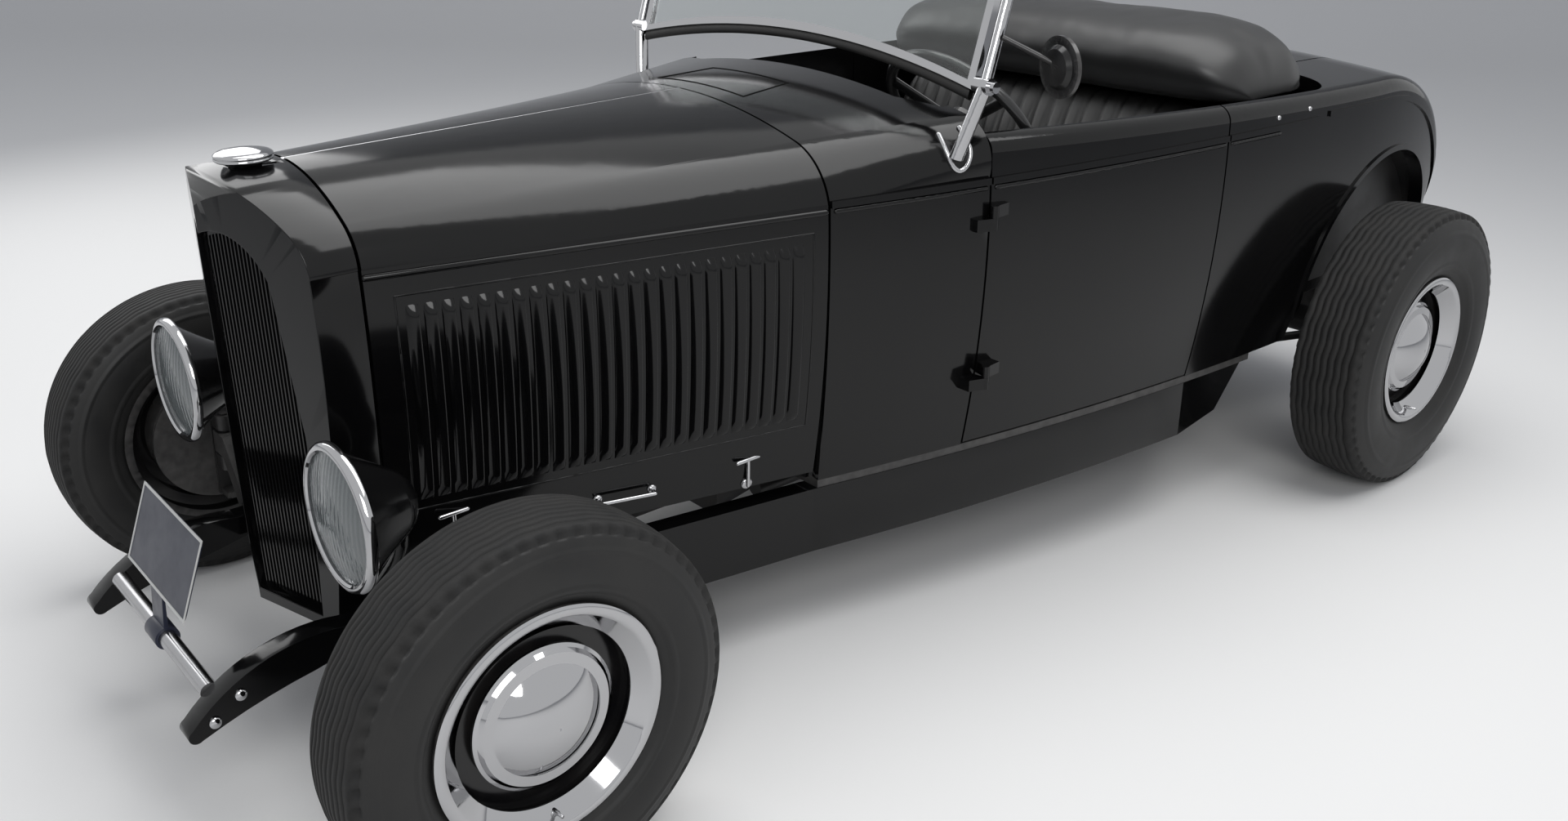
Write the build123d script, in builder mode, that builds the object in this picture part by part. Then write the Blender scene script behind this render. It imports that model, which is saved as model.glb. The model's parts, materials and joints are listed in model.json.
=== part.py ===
from build123d import *
import os
from math import acos, asin, atan2, cos, degrees, hypot, pi, radians, sin, sqrt, tan

os.makedirs("parts", exist_ok=True)

# An open two-seat hot rod. Millimetres; +X is the driver's side, +Y runs to the tail, +Z is up.
# Lengths along the car are counted rearward from the front axle.

# Chassis layout
WHEELBASE = 2692.0
FRONT_OVERHANG = 385.0       # front axle to the tips of the front horns
REAR_OVERHANG = 600.0        # rear axle to the back of the rear spreader bar
FRONT_TRACK = 1440.0
REAR_TRACK = 1580.0
RAKE = 1.8                   # nose-down angle of body and frame, degrees
Y_FRONT_AXLE = -(WHEELBASE + REAR_OVERHANG - FRONT_OVERHANG) / 2

# Clearances
PANEL_GAP = 5.0              # all round a door, a lid or a hood half
RUN_CLEAR = 6.0              # a turning part past a fixed one
PIN_FIT = 0.3                # a pin or shaft in its hole
SEAT_FIT = 0.3               # a piece beside the curved face that carries it
PANEL_WALL = 35.0            # a door or quarter, outer skin to inner trim
COWL_WALL = 25.0
SHEET = 6.0                  # hood, shell and other single panels

# Belt line seen from above: straight along the hood, then tangent arcs round to the tail
HOOD_FRONT = 5.0
HALF_FRONT = 275.0
COWL_FRONT = 872.0
HALF_COWL = 479.0
HALF_MAX = 676.0
HOOD_HEADING = atan2(HALF_COWL - HALF_FRONT, COWL_FRONT - HOOD_FRONT)
SIDE_RADIUS = (HALF_MAX - HALF_COWL) / (1 - cos(HOOD_HEADING))
QUARTER_RADIUS, QUARTER_TURN = 3000.0, 11.0
CORNER_RADIUS, CORNER_TURN = 140.0, 73.0
TAIL_TURN = 90.0 - QUARTER_TURN - CORNER_TURN

# Heights in the raked body frame
RAIL_TOP = 322.0
FLOOR_THICK = 18.0
FLOOR_TOP = RAIL_TOP + FLOOR_THICK
HOOD_BOTTOM = 366.0
BELT = 950.0
WIDEST = 850.0               # the side's fullest height
TUCK = 45.0                  # how far the side draws in at the floor
SIDE_BOW = (WIDEST - FLOOR_TOP) ** 2 / (2 * TUCK)
BEAD = 14.0                  # height of the belt moulding
BEAD_PROUD = 5.0

# Stations of the body's seams
DOOR_FRONT = 1247.0
DOOR_REAR = 1971.0
COCKPIT_REAR = 2472.0
DOOR_TOP_FRONT = 1026.0
DECK_EDGE = 1003.0           # height of the deck at its side where its curve starts
DECK_RADIUS = 575.0
DECK_CROWN = 45.0            # rise of the deck from side to centre
SHOULDER = 40.0              # rounding between deck and quarter

# Hood and cowl cross-sections: station, crown height, crown radius, shoulder radius
CROWN_TABLE = (
    (HOOD_FRONT, 1092.0, 420.0, 90.0),
    (COWL_FRONT, 1111.0, 1354.0, 140.0),
    (DOOR_FRONT, 1128.0, 2300.0, 95.0),
)
DASH_REAR = 1185.0           # rear edge of the cowl's top at the centre

# Cockpit, deck lid and wheel arch
COCKPIT_CORNER = 110.0
LID_FRONT = 2600.0
LID_BOTTOM = 500.0
LID_HALF = 430.0
LID_THICK = 22.0
LID_HINGE_HEIGHT = 1056.0
LID_HINGES = (-150.0, 150.0)
LID_OPEN = 35.0              # degrees
ARCH_Y, ARCH_HEIGHT, ARCH_RADIUS = 2780.0, 445.0, 358.0
ARCH_FRONT, ARCH_REAR = 2385.0, 3120.0
ARCH_BEAD = 16.0
WHEELHOUSE_WALL = 12.0
WHEELHOUSE_INNER = 548.0     # side position of the wheelhouse's inner wall
TRUNK_FLOOR = 500.0
TRUNK_FRONT = 2240.0
TRUNK_SHEET = 12.0

# Frame rails, in the body frame: outer faces seen from above, and the depth seen from the side
RAIL_WIDTH = 46.0
RAIL_HORN_HALF = 290.0
RAIL_INSET = TUCK            # the rail's face stands under the edge of the body
RAIL_REAR_HALF = 540.0
RAIL_DEEP = 171.0
RAIL_KICK_TOP = TRUNK_FLOOR - TRUNK_SHEET
RAIL_KICK_BOTTOM = 395.0

RAIL_STRAIGHT = 60.0
RAIL_END = 3308.0
BUMPER_HOLES, BUMPER_HEIGHT, BUMPER_HOLE = (3200.0, 3260.0), 406.0, 6.0
CROSS_FRONT = 4.0
CROSS_DEEP = 90.0
# Crossmembers: station, underside, top, depth fore and aft, half length
CROSSMEMBERS = (
    (330.0, 200.0, 246.0, 60.0, 222.0),
    (1270.0, 150.0, 186.0, 60.0, 430.0),
    (2703.0, 420.0, 470.0, 110.0, 520.0),
)
END_LOW, END_HIGH = 180.0, 232.0   # upturned ends of the gearbox crossmember

# Front end
RADIATOR_FRONT = -60.0
RADIATOR_DEEP = 58.0
RADIATOR_HALF = 205.0
RADIATOR_TOP, RADIATOR_BOTTOM = 985.0, 352.0
SHELL_NOSE = 154.0           # shell's front ahead of the front axle, at the centre
SHELL_SWEEP = 0.28           # how fast the shell and grille fall back to the sides
SHELL_BOTTOM = 268.0
SHELL_BACK_LOW = 357.0       # the shell's rear edge stops above the crossmember
GRILLE_TOP_HALF, GRILLE_TOP = 120.0, 985.0
GRILLE_WIDE_HALF, GRILLE_WIDE = 205.0, 650.0
GRILLE_LOW_HALF, GRILLE_LOW = 178.0, 290.0
GRILLE_BARS = 21             # bars on each side of the centre bar
GRILLE_BAR = 3.2
GRILLE_DEPTH = 12.0
CAP_RADIUS = 50.0
CAP_STATION = -58.0
CAP_GAP = 6.0                # cap above the shell's crown
NECK_RADIUS = 28.0

LAMP_X, LAMP_Y, LAMP_Z = 392.0, -127.0, 586.0
LAMP_RADIUS = 122.0
LAMP_DEPTH = 130.0          # the bowl ends ahead of the swinging hood side
LAMP_NOSE = 70.0             # radius of the bowl's rounded back
LAMP_WALL = 4.0
LENS_DOME = 16.0
BAR_Y, BAR_Z, BAR_RADIUS = -335.0, 268.0, 16.0
PLATE_WIDE, PLATE_TALL = 305.0, 152.0
PLATE_LOW = 88.0             # plate's lower edge above the bar
PLATE_LEAN = 21.0

STAND_FOOT, STAND_Y, STAND_RADIUS = 268.0, -40.0, 13.0

# Engine, firewall, dash and floor
ENGINE_HALF = 170.0
GEARBOX_REAR = 1236.0
FIREWALL = 8.0
DASH_STATION, DASH_DEEP = 1196.0, 14.0
TRUNK_REAR = 3190.0

# Windshield: post base, pivot and top, on the +X side, in the body frame
POST_BASE = (545.0, 1157.0, 1024.0)
POST_PIVOT = (580.0, 1186.0, 1153.0)
POST_TOP = (580.0, 1268.0, 1408.0)
POST_RADIUS = 13.0
SCREEN_HALF = 556.0
SCREEN_RAIL = 9.0
SCREEN_RISE = 62.0           # how much the lower rail arches over the cowl
SCREEN_LOW = 12.0            # lower corner below the pivot

# Seats and folded top
SEAT_HALF = 520.0
SEAT_FRONT, SEAT_REAR, SEAT_TOP = 1560.0, 2050.0, 640.0
BACK_TOP = 985.0
BOOT_HALF = 585.0
BOOT_END = 60.0
MIRROR_RADIUS = 60.0

# Wheels: tyre radius, tyre width, rim half width, hub-cap stand-out
FRONT_TYRE, FRONT_WIDTH = 337.0, 165.0
REAR_TYRE, REAR_WIDTH = 385.0, 212.0
RIM_RADIUS = 190.5
RIM_LIP = 203.0
HUB_CAP_RADIUS = 126.0
KING_PIN_HALF = 600.0
STEER_ARM = 140.0
TIE_ROD_HEIGHT = 185.0
AXLE_HEIGHT = 235.0
DRUM_RADIUS = 140.0
HUB_RADIUS = 16.0
KING_PIN = 11.0
BALL_PIN = 7.0
SPINDLE_END = 30.0           # spindle past the tyre's middle plane
REAR_PLATE = 716.0           # side position of the rear backing plates
AXLE_BANJO = 108.0
ROD_END = 1270.0
SPRING_TOP, SPRING_LEAF = 316.9, 8.0
SPRING_RADIUS = 673.0
SPRING_LEAVES = (178.0, 140.0, 100.0, 62.0)     # half lengths, longest on top
# Wheel sets: name, station, track, tyre radius, tyre width, rim half width
WHEEL_SETS = (
    ("front", 0.0, FRONT_TRACK, FRONT_TYRE, FRONT_WIDTH, 62.0),
    ("rear", WHEELBASE, REAR_TRACK, REAR_TYRE, REAR_WIDTH, 74.0),
)

# Steering column: wheel hub position, slope and wheel radius
STEER_X, STEER_Y, STEER_Z = 330.0, 1370.0, 1060.0
COLUMN_SLOPE = 38.0
STEER_WHEEL_RADIUS = 205.0
COLUMN_LENGTH = 740.0
SHAFT_RADIUS = 9.0

SIDES = (("left", 1), ("right", -1))


# Frames of reference
def level(x, y, z):
    """A point by its distance behind the front axle, with the ground level."""
    return Vector(x, Y_FRONT_AXLE + y, z)


BODY = Plane(
    origin=(0, Y_FRONT_AXLE, 0),
    x_dir=(1, 0, 0),
    z_dir=(0, -sin(radians(RAKE)), cos(radians(RAKE))),
)
UP = BODY.z_dir
AFT = BODY.y_dir


def at(x, y, z):
    """A point given in the raked body frame."""
    return BODY.from_local_coords(Vector(x, y, z))


def across(y):
    """A cross-section plane at station y: its axes are the car's side and the body's up."""
    return Plane(origin=at(0, y, 0), x_dir=(1, 0, 0), z_dir=-AFT)


def along(x):
    """A side-view plane at x: its axes are the body's aft and up."""
    return Plane(origin=at(x, 0, 0), x_dir=AFT, z_dir=(1, 0, 0))


# The belt line's stretches on the +X side: start x, start y, heading, radius, turn (all in radians)
def belt_stretches():
    rows = []
    x, y, heading = HALF_COWL, COWL_FRONT, HOOD_HEADING
    quarter, corner, tail = radians(QUARTER_TURN), radians(CORNER_TURN), radians(TAIL_TURN)
    table = [(SIDE_RADIUS, HOOD_HEADING), (QUARTER_RADIUS, quarter), (CORNER_RADIUS, corner)]
    for radius, turn in table:
        rows.append((x, y, heading, radius, turn))
        x += radius * (cos(heading - turn) - cos(heading))
        y += radius * (sin(heading) - sin(heading - turn))
        heading -= turn
    rows.append((x, y, heading, x / sin(tail), tail))
    return rows


BELT_STRETCHES = belt_stretches()
TAIL_X, TAIL_Y, TAIL_HEADING, TAIL_RADIUS, _ = BELT_STRETCHES[-1]
BODY_REAR = TAIL_Y + TAIL_RADIUS * (1 - cos(radians(TAIL_TURN)))


def belt_half(y):
    """Half width of the body at the belt line, up to the start of the quarter's corner."""
    if y < COWL_FRONT:
        return HALF_COWL - (COWL_FRONT - y) * tan(HOOD_HEADING)
    x0, y0, heading, radius, turn = BELT_STRETCHES[0]
    if y < BELT_STRETCHES[1][1]:
        angle = asin(sin(heading) - (y - y0) / radius)
        return x0 + radius * (cos(angle) - cos(heading))
    x0, y0, heading, radius, turn = BELT_STRETCHES[1]
    angle = asin(sin(heading) - (y - y0) / radius)
    return x0 + radius * (cos(angle) - cos(heading))


def side_in(height):
    """How far the side stands inside the belt line's widest height."""
    return -((height - WIDEST) ** 2) / (2 * SIDE_BOW)


def outline(grow, front):
    """The body seen from above, moved outward by grow, from station front (behind the hood) to the tail."""
    with BuildSketch() as face:
        with BuildLine():
            ends = []
            for x, y, heading, radius, turn in BELT_STRETCHES:
                reach = radius + grow
                cx, cy = x - radius * cos(heading), y + radius * sin(heading)
                if not ends and front > y:
                    first = asin((cy - front) / reach)
                    turn -= heading - first
                    heading = first
                ring = (heading, heading - turn / 2, heading - turn)
                ring = [(cx + reach * cos(h), cy - reach * sin(h)) for h in ring]
                ThreePointArc(*ring)
                ends += [ring[0], ring[2]]
            Line(ends[0], (0, ends[0][1]))
            Line((0, ends[0][1]), ends[-1])
        make_face()
        mirror(about=Plane.YZ)
    return face.sketch


def wall_profile(grow, thick, low, high):
    """A slice of the curved side: x is outward from the belt line, y is height."""
    outer = [(side_in(v) + grow, v) for v in (low, (low + high) / 2, high)]
    inner = [(u - thick, v) for u, v in outer]
    with BuildSketch() as slice_face:
        with BuildLine():
            ThreePointArc(*outer)
            Line(outer[2], inner[2])
            ThreePointArc(*inner)
            Line(inner[0], outer[0])
        make_face()
    return slice_face.sketch


def outward(heading):
    """The direction square to the belt line where it runs at this heading."""
    return BODY.x_dir * cos(heading) - AFT * sin(heading)


def hood_flank(grow, thick, low, high):
    """The straight stretch of the +X side, along the hood."""
    out = outward(HOOD_HEADING)
    with BuildPart() as wall:
        with BuildSketch(Plane(origin=at(HALF_COWL, COWL_FRONT, 0), x_dir=out, z_dir=out.cross(UP))):
            add(wall_profile(grow, thick, low, high))
        extrude(amount=(COWL_FRONT - HOOD_FRONT) / cos(HOOD_HEADING))
    return wall.part


def flank(grow, thick, low, high):
    """The curved side behind the hood, +X side: the wall profile turned round each arc of the belt line."""
    with BuildPart() as wall:
        for x, y, heading, radius, turn in BELT_STRETCHES:
            out = outward(heading)
            with BuildSketch(Plane(origin=at(x, y, 0), x_dir=out, z_dir=out.cross(UP))):
                add(wall_profile(grow, thick, low, high))
            centre = at(x, y, 0) - out * radius
            revolve(axis=Axis(centre, UP), revolution_arc=degrees(turn))
    return wall.part


def deck_profile(grow, front):
    """The side view of everything below the deck's centre line, moved outward by grow."""
    rise = DECK_CROWN
    cy = BODY_REAR - DECK_RADIUS - 2
    slope = atan2(DOOR_TOP_FRONT - DECK_EDGE, cy - DOOR_FRONT)
    cz = DECK_EDGE + rise - DECK_RADIUS * cos(slope)
    reach = DECK_RADIUS + grow
    mid = (radians(90) - slope) / 2
    top = (cy + reach * sin(slope), cz + reach * cos(slope))
    middle = (cy + reach * sin(slope + mid), cz + reach * cos(slope + mid))
    front_top = (front, top[1] + (top[0] - front) * tan(slope))
    with BuildSketch() as face:
        with BuildLine():
            Polyline((cy + reach, cz), (cy + reach, 0), (front, 0), front_top, top)
            ThreePointArc(top, middle, (cy + reach, cz))
        make_face()
    return face.sketch


# The deck's crown turns about a fore-and-aft axis far below the car
CROWN_RADIUS = (HALF_MAX**2 + DECK_CROWN**2) / (2 * DECK_CROWN)
CROWN_AXIS = Axis(at(0, 0, DECK_EDGE + DECK_CROWN - CROWN_RADIUS), AFT)
CROWN_SWEEP = 14.0


def deck_mass(grow, front):
    """Everything below the deck's surface, moved outward by grow: the side view turned across the car."""
    with BuildPart() as deck:
        with BuildSketch(along(0)):
            add(deck_profile(grow, front))
        revolve(axis=CROWN_AXIS, revolution_arc=CROWN_SWEEP)
        mirror(about=Plane.YZ)
    return deck.part


def shoulder_edge(edge):
    """True for an edge where the deck's surface meets the side."""
    low = min(BODY.to_local_coords(edge @ t).Z for t in (0, 1))
    return edge.geom_type == GeomType.BSPLINE and low > 800 and abs((edge @ 0.5).X) > 150


def body_mass(grow, front):
    """The whole closed rear body, moved outward by grow: curved sides, deck surface, rounded shoulder."""
    with BuildPart() as mass:
        add(flank(grow, TUCK + 8, FLOOR_TOP, 1150))
        mirror(about=Plane.YZ)
        with BuildSketch(BODY.offset(FLOOR_TOP)):
            add(outline(grow - TUCK - 4, COWL_FRONT))
        extrude(amount=1150 - FLOOR_TOP)
        add(deck_mass(grow, front), mode=Mode.INTERSECT)
        fillet(mass.edges().filter_by(shoulder_edge), radius=SHOULDER)
    return mass.part


def crown_section(row, inset):
    """A hood or cowl section above the belt line, moved inward by inset."""
    y, top, crown, shoulder = row
    top, crown, shoulder = top - inset, crown - inset, shoulder - inset
    corner_x = belt_half(y) - inset - shoulder
    axis = top - crown
    reach = crown - shoulder
    corner_z = axis + sqrt(reach**2 - corner_x**2)
    base = (corner_x + sqrt(shoulder**2 - (BELT - corner_z) ** 2), BELT)
    low = atan2(BELT - corner_z, base[0] - corner_x)
    high = atan2(corner_z - axis, corner_x)
    mid = (low + high) / 2
    middle = (corner_x + shoulder * cos(mid), corner_z + shoulder * sin(mid))
    tangent = (corner_x + shoulder * cos(high), corner_z + shoulder * sin(high))
    with BuildSketch() as section:
        with BuildLine():
            ThreePointArc(base, middle, tangent)
            ThreePointArc(tangent, (0, top), (-tangent[0], tangent[1]))
            ThreePointArc((-tangent[0], tangent[1]), (-middle[0], middle[1]), (-base[0], base[1]))
            Line((-base[0], base[1]), base)
        make_face()
    return section.sketch


def between_rows(y):
    """The crown table's values at a station on the cowl."""
    first, last = CROWN_TABLE[1], CROWN_TABLE[2]
    share = (y - first[0]) / (last[0] - first[0])
    return tuple(a + share * (b - a) for a, b in zip(first, last))


def crown_mass(first, last, inset):
    """The closed hood or cowl above the belt line, from one row of the crown table to another."""
    with BuildPart() as mass:
        with BuildSketch(across(first[0])):
            add(crown_section(first, inset))
        with BuildSketch(across(last[0])):
            add(crown_section(last, inset))
        loft(ruled=True)
    return mass.part


def station_box(y0, y1, low=0, high=1500, x0=-900, x1=900):
    """A box between two stations and two heights of the body frame, for parting panels."""
    with BuildPart() as box:
        with BuildSketch(BODY.offset(low)):
            with BuildLine():
                Polyline((x0, y0), (x1, y0), (x1, y1), (x0, y1), close=True)
            make_face()
        extrude(amount=high - low)
    return box.part


# Construction bodies shared by the panels
outer_body = body_mass(0, DOOR_FRONT)
inner_body = body_mass(-PANEL_WALL, DOOR_FRONT - 20)
liner = body_mass(-PANEL_WALL - SEAT_FIT, DOOR_FRONT - 20)
with BuildPart() as tub:
    add(outer_body)
    add(inner_body, mode=Mode.SUBTRACT)

with BuildPart() as cockpit:
    with BuildSketch(BODY.offset(BELT - 60)):
        add(outline(-PANEL_WALL, DOOR_FRONT - 40))
        with BuildLine():
            Polyline((-900, COCKPIT_REAR), (900, COCKPIT_REAR), (900, 4000), (-900, 4000), close=True)
        make_face(mode=Mode.SUBTRACT)
    extrude(amount=300)
    fillet(cockpit.edges().filter_by(Axis(at(0, 0, 0), UP)).group_by(Axis.Y)[-1], radius=COCKPIT_CORNER)

with BuildPart() as belt_bead:
    add(flank(BEAD_PROUD, BEAD_PROUD + 3, BELT - BEAD / 2, BELT + BEAD / 2))



# Doors, hung on two exposed hinges ahead of their front edge
DOOR_LOW = FLOOR_TOP + PANEL_GAP
HINGE_OUT = 13.0             # hinge pin outside the skin
HINGE_HEIGHTS = (875.0, 520.0)
HINGE_BARREL = 9.0
HINGE_TALL = 52.0
HINGE_PIN = 4.0
HINGE_LEAF = 42.0            # how far a leaf reaches along its panel
HINGE_X = belt_half(DOOR_FRONT) + HINGE_OUT
HINGE_Y = DOOR_FRONT

with BuildPart() as door_left:
    add(tub.part)
    add(belt_bead.part)
    add(
        station_box(DOOR_FRONT + PANEL_GAP / 2, DOOR_REAR - PANEL_GAP / 2, DOOR_LOW, 1200, 0),
        mode=Mode.INTERSECT,
    )
    add(cockpit.part, mode=Mode.SUBTRACT)
    for height in HINGE_HEIGHTS:
        skin = HINGE_OUT - side_in(height)
        with BuildSketch(BODY.offset(height + PIN_FIT)):
            with Locations((HINGE_X, HINGE_Y)):
                Circle(HINGE_BARREL)
            with BuildLine():
                Polyline(
                    (HINGE_X - 4, HINGE_Y),
                    (HINGE_X + HINGE_BARREL - 3, HINGE_Y + 4),
                    (HINGE_X + 2, HINGE_Y + HINGE_LEAF),
                    (HINGE_X - skin - 8, HINGE_Y + HINGE_LEAF),
                    (HINGE_X - skin - 8, HINGE_Y + PANEL_GAP / 2 + 4),
                    close=True,
                )
            make_face()
            with Locations((HINGE_X, HINGE_Y)):
                Circle(HINGE_PIN + PIN_FIT, mode=Mode.SUBTRACT)
        extrude(amount=HINGE_TALL / 2)
door_left.part.label = "door_left"
export_step(door_left.part, "parts/door_left.step")
with BuildPart() as door_right:
    mirror(door_left.part, about=Plane.YZ)
door_right.part.label = "door_right"
export_step(door_right.part, "parts/door_right.step")

# Cowl: crowned top over two curved sides, open behind the dash
with BuildPart() as cowl:
    add(flank(0, COWL_WALL, FLOOR_TOP, BELT))
    add(belt_bead.part)
    mirror(about=Plane.YZ)
    add(station_box(COWL_FRONT, DOOR_FRONT - PANEL_GAP / 2), mode=Mode.INTERSECT)
    add(crown_mass(CROWN_TABLE[1], CROWN_TABLE[2], 0))
    add(crown_mass(CROWN_TABLE[1], CROWN_TABLE[2], COWL_WALL), mode=Mode.SUBTRACT)
    add(station_box(DOOR_FRONT - PANEL_GAP / 2, DOOR_FRONT + 50), mode=Mode.SUBTRACT)
    with BuildSketch(BODY.offset(BELT + 5)):
        with BuildLine():
            Polyline((-430, 1300), (-430, 1230), (-330, DASH_REAR), (330, DASH_REAR), (430, 1230), (430,
                1300),
                     close=True)
        make_face()
    extrude(amount=300, mode=Mode.SUBTRACT)
    for side, s in SIDES:
        for height in HINGE_HEIGHTS:
            x = s * HINGE_X
            skin = HINGE_OUT - side_in(height) + 14
            with BuildSketch(BODY.offset(height - HINGE_TALL / 2)):
                with Locations((x, HINGE_Y)):
                    Circle(HINGE_BARREL)
                with BuildLine():
                    Polyline(
                        (x - s * 4, HINGE_Y),
                        (x + s * (HINGE_BARREL - 3), HINGE_Y - 4),
                        (x - s * 8, HINGE_Y - HINGE_LEAF),
                        (x - s * skin, HINGE_Y - HINGE_LEAF),
                        (x - s * skin, HINGE_Y - PANEL_GAP / 2 - 4),
                        close=True,
                    )
                make_face()
            extrude(amount=HINGE_TALL / 2)
            with BuildSketch(BODY.offset(height)):
                with Locations((x, HINGE_Y)):
                    Circle(HINGE_PIN)
            extrude(amount=HINGE_TALL / 2)
cowl.part.label = "cowl"
export_step(cowl.part, "parts/cowl.step")

# Quarters: the tub beside and behind the doors, cut for the wheel arch, with their mouldings
with BuildPart() as arch_opening:
    with BuildSketch(along(300)):
        with Locations((ARCH_Y, ARCH_HEIGHT)):
            Circle(ARCH_RADIUS)
        with BuildLine():
            Polyline(
                (ARCH_FRONT, FLOOR_TOP - 40),
                (ARCH_Y - ARCH_RADIUS, ARCH_HEIGHT),
                (ARCH_Y + ARCH_RADIUS, ARCH_HEIGHT),
                (ARCH_REAR, FLOOR_TOP - 40),
                close=True,
            )
        make_face()
    extrude(amount=500)

with BuildPart() as arch_bead:
    with BuildSketch(along(300)):
        with Locations((ARCH_Y, ARCH_HEIGHT)):
            Circle(ARCH_RADIUS + ARCH_BEAD)
            Circle(ARCH_RADIUS - ARCH_BEAD, mode=Mode.SUBTRACT)
        with Locations((ARCH_Y, ARCH_HEIGHT - ARCH_RADIUS / 2 - 60)):
            Rectangle(900, ARCH_RADIUS, mode=Mode.SUBTRACT)
    extrude(amount=500)
    add(flank(BEAD_PROUD, BEAD_PROUD + 3, FLOOR_TOP, 1100), mode=Mode.INTERSECT)
    add(station_box(0, 4000, 0, 1500, LID_HALF + 40, 900), mode=Mode.INTERSECT)

with BuildPart() as quarter_bead:
    add(belt_bead.part)
    add(station_box(DOOR_REAR + PANEL_GAP / 2, COCKPIT_REAR - 140, 800, 1300, 0), mode=Mode.INTERSECT)

with BuildPart() as deck_bead:
    add(flank(BEAD_PROUD, BEAD_PROUD + 3, FLOOR_TOP, 1100))
    add(deck_mass(-SHOULDER - 4, DOOR_FRONT), mode=Mode.INTERSECT)
    add(deck_mass(-SHOULDER - 4 - BEAD, DOOR_FRONT - 50), mode=Mode.SUBTRACT)
    add(station_box(COCKPIT_REAR - 90, 3400, 500, 1500, LID_HALF + 20), mode=Mode.INTERSECT)

with BuildPart() as quarter_left:
    add(tub.part)
    add(station_box(DOOR_REAR + PANEL_GAP / 2, 3400, FLOOR_TOP, 1300, 0), mode=Mode.INTERSECT)
    add(cockpit.part, mode=Mode.SUBTRACT)
    add(station_box(COCKPIT_REAR - 60, 3400, 0, 1500, -10, LID_HALF + PANEL_GAP), mode=Mode.SUBTRACT)
    add(quarter_bead.part)
    add(deck_bead.part)
    add(arch_bead.part)
    add(arch_opening.part, mode=Mode.SUBTRACT)
quarter_left.part.label = "quarter_left"
export_step(quarter_left.part, "parts/quarter_left.step")
with BuildPart() as quarter_right:
    mirror(quarter_left.part, about=Plane.YZ)
quarter_right.part.label = "quarter_right"
export_step(quarter_right.part, "parts/quarter_right.step")

# Deck panel behind the cockpit, deck lid, and tail panel below the lid
# Deck lid hinges: a pin between two ears on the panel, a barrel and leaf on the lid
LID_AXIS = at(0, LID_FRONT, LID_HINGE_HEIGHT)
with BuildPart() as lid_ears:
    for x in LID_HINGES:
        for edge in (-32, 24):
            with BuildSketch(along(x + edge)):
                with BuildLine():
                    Polyline((LID_FRONT - 34, LID_HINGE_HEIGHT - 22), (LID_FRONT - 34,
                        LID_HINGE_HEIGHT - 8),
                             (LID_FRONT - 8, LID_HINGE_HEIGHT + 6), (LID_FRONT + 6, LID_HINGE_HEIGHT + 6),
                             (LID_FRONT + 6, LID_HINGE_HEIGHT - 5), (LID_FRONT - 6, LID_HINGE_HEIGHT - 5),
                             (LID_FRONT - 12, LID_HINGE_HEIGHT - 22), close=True)
                make_face()
            extrude(amount=8)
        with BuildSketch(Plane(origin=LID_AXIS + Vector(x - 32, 0, 0), x_dir=(0, 1, 0), z_dir=(1, 0, 0))):
            Circle(HINGE_PIN)
        extrude(amount=64)
with BuildPart() as lid_leaves:
    for x in LID_HINGES:
        with BuildSketch(Plane(origin=LID_AXIS + Vector(x - 19, 0, 0), x_dir=(0, 1, 0), z_dir=(1, 0, 0))):
            Circle(HINGE_PIN + 5)
        extrude(amount=38)
        with BuildSketch(along(x - 19)):
            with BuildLine():
                Polyline((LID_FRONT, LID_HINGE_HEIGHT + 4), (LID_FRONT + 64, LID_HINGE_HEIGHT + 1),
                         (LID_FRONT + 64, LID_HINGE_HEIGHT - 20), (LID_FRONT + 24, LID_HINGE_HEIGHT - 20),
                         (LID_FRONT + 12, LID_HINGE_HEIGHT - 6), (LID_FRONT, LID_HINGE_HEIGHT - 6),
                             close=True)
            make_face()
        extrude(amount=38)
        with BuildSketch(Plane(origin=LID_AXIS + Vector(x - 20, 0, 0), x_dir=(0, 1, 0), z_dir=(1, 0, 0))):
            Circle(HINGE_PIN + PIN_FIT)
        extrude(amount=40, mode=Mode.SUBTRACT)

with BuildPart() as deck_panel:
    add(tub.part)
    add(
        station_box(COCKPIT_REAR - 60, LID_FRONT - PANEL_GAP, BELT, 1300, -LID_HALF - PANEL_GAP,
            LID_HALF + PANEL_GAP),
        mode=Mode.INTERSECT,
    )
    add(cockpit.part, mode=Mode.SUBTRACT)
    add(lid_ears.part)
deck_panel.part.label = "deck_panel"
export_step(deck_panel.part, "parts/deck_panel.step")

with BuildPart() as deck_lid:
    add(outer_body)
    add(body_mass(-LID_THICK, DOOR_FRONT - 20), mode=Mode.SUBTRACT)
    add(station_box(LID_FRONT, 3400, LID_BOTTOM, 1300, -LID_HALF, LID_HALF), mode=Mode.INTERSECT)
    # the front edge leans back above the hinge line, so that it clears the panel when the lid is up
    with BuildSketch(along(-LID_HALF - 1)):
        with BuildLine():
            Polyline((LID_FRONT - 1, LID_HINGE_HEIGHT), (LID_FRONT - 1, LID_HINGE_HEIGHT + 30),
                     (LID_FRONT + 30 * tan(radians(LID_OPEN)), LID_HINGE_HEIGHT + 30),
                     (LID_FRONT, LID_HINGE_HEIGHT), close=True)
        make_face()
    extrude(amount=2 * LID_HALF + 2, mode=Mode.SUBTRACT)
    add(lid_leaves.part)
deck_lid.part.label = "deck_lid"
export_step(deck_lid.part, "parts/deck_lid.step")

with BuildPart() as tail_panel:
    add(tub.part)
    add(
        station_box(2900, 3400, FLOOR_TOP, LID_BOTTOM - PANEL_GAP, -LID_HALF - PANEL_GAP,
            LID_HALF + PANEL_GAP),
        mode=Mode.INTERSECT,
    )
tail_panel.part.label = "tail_panel"
export_step(tail_panel.part, "parts/tail_panel.step")

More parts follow.
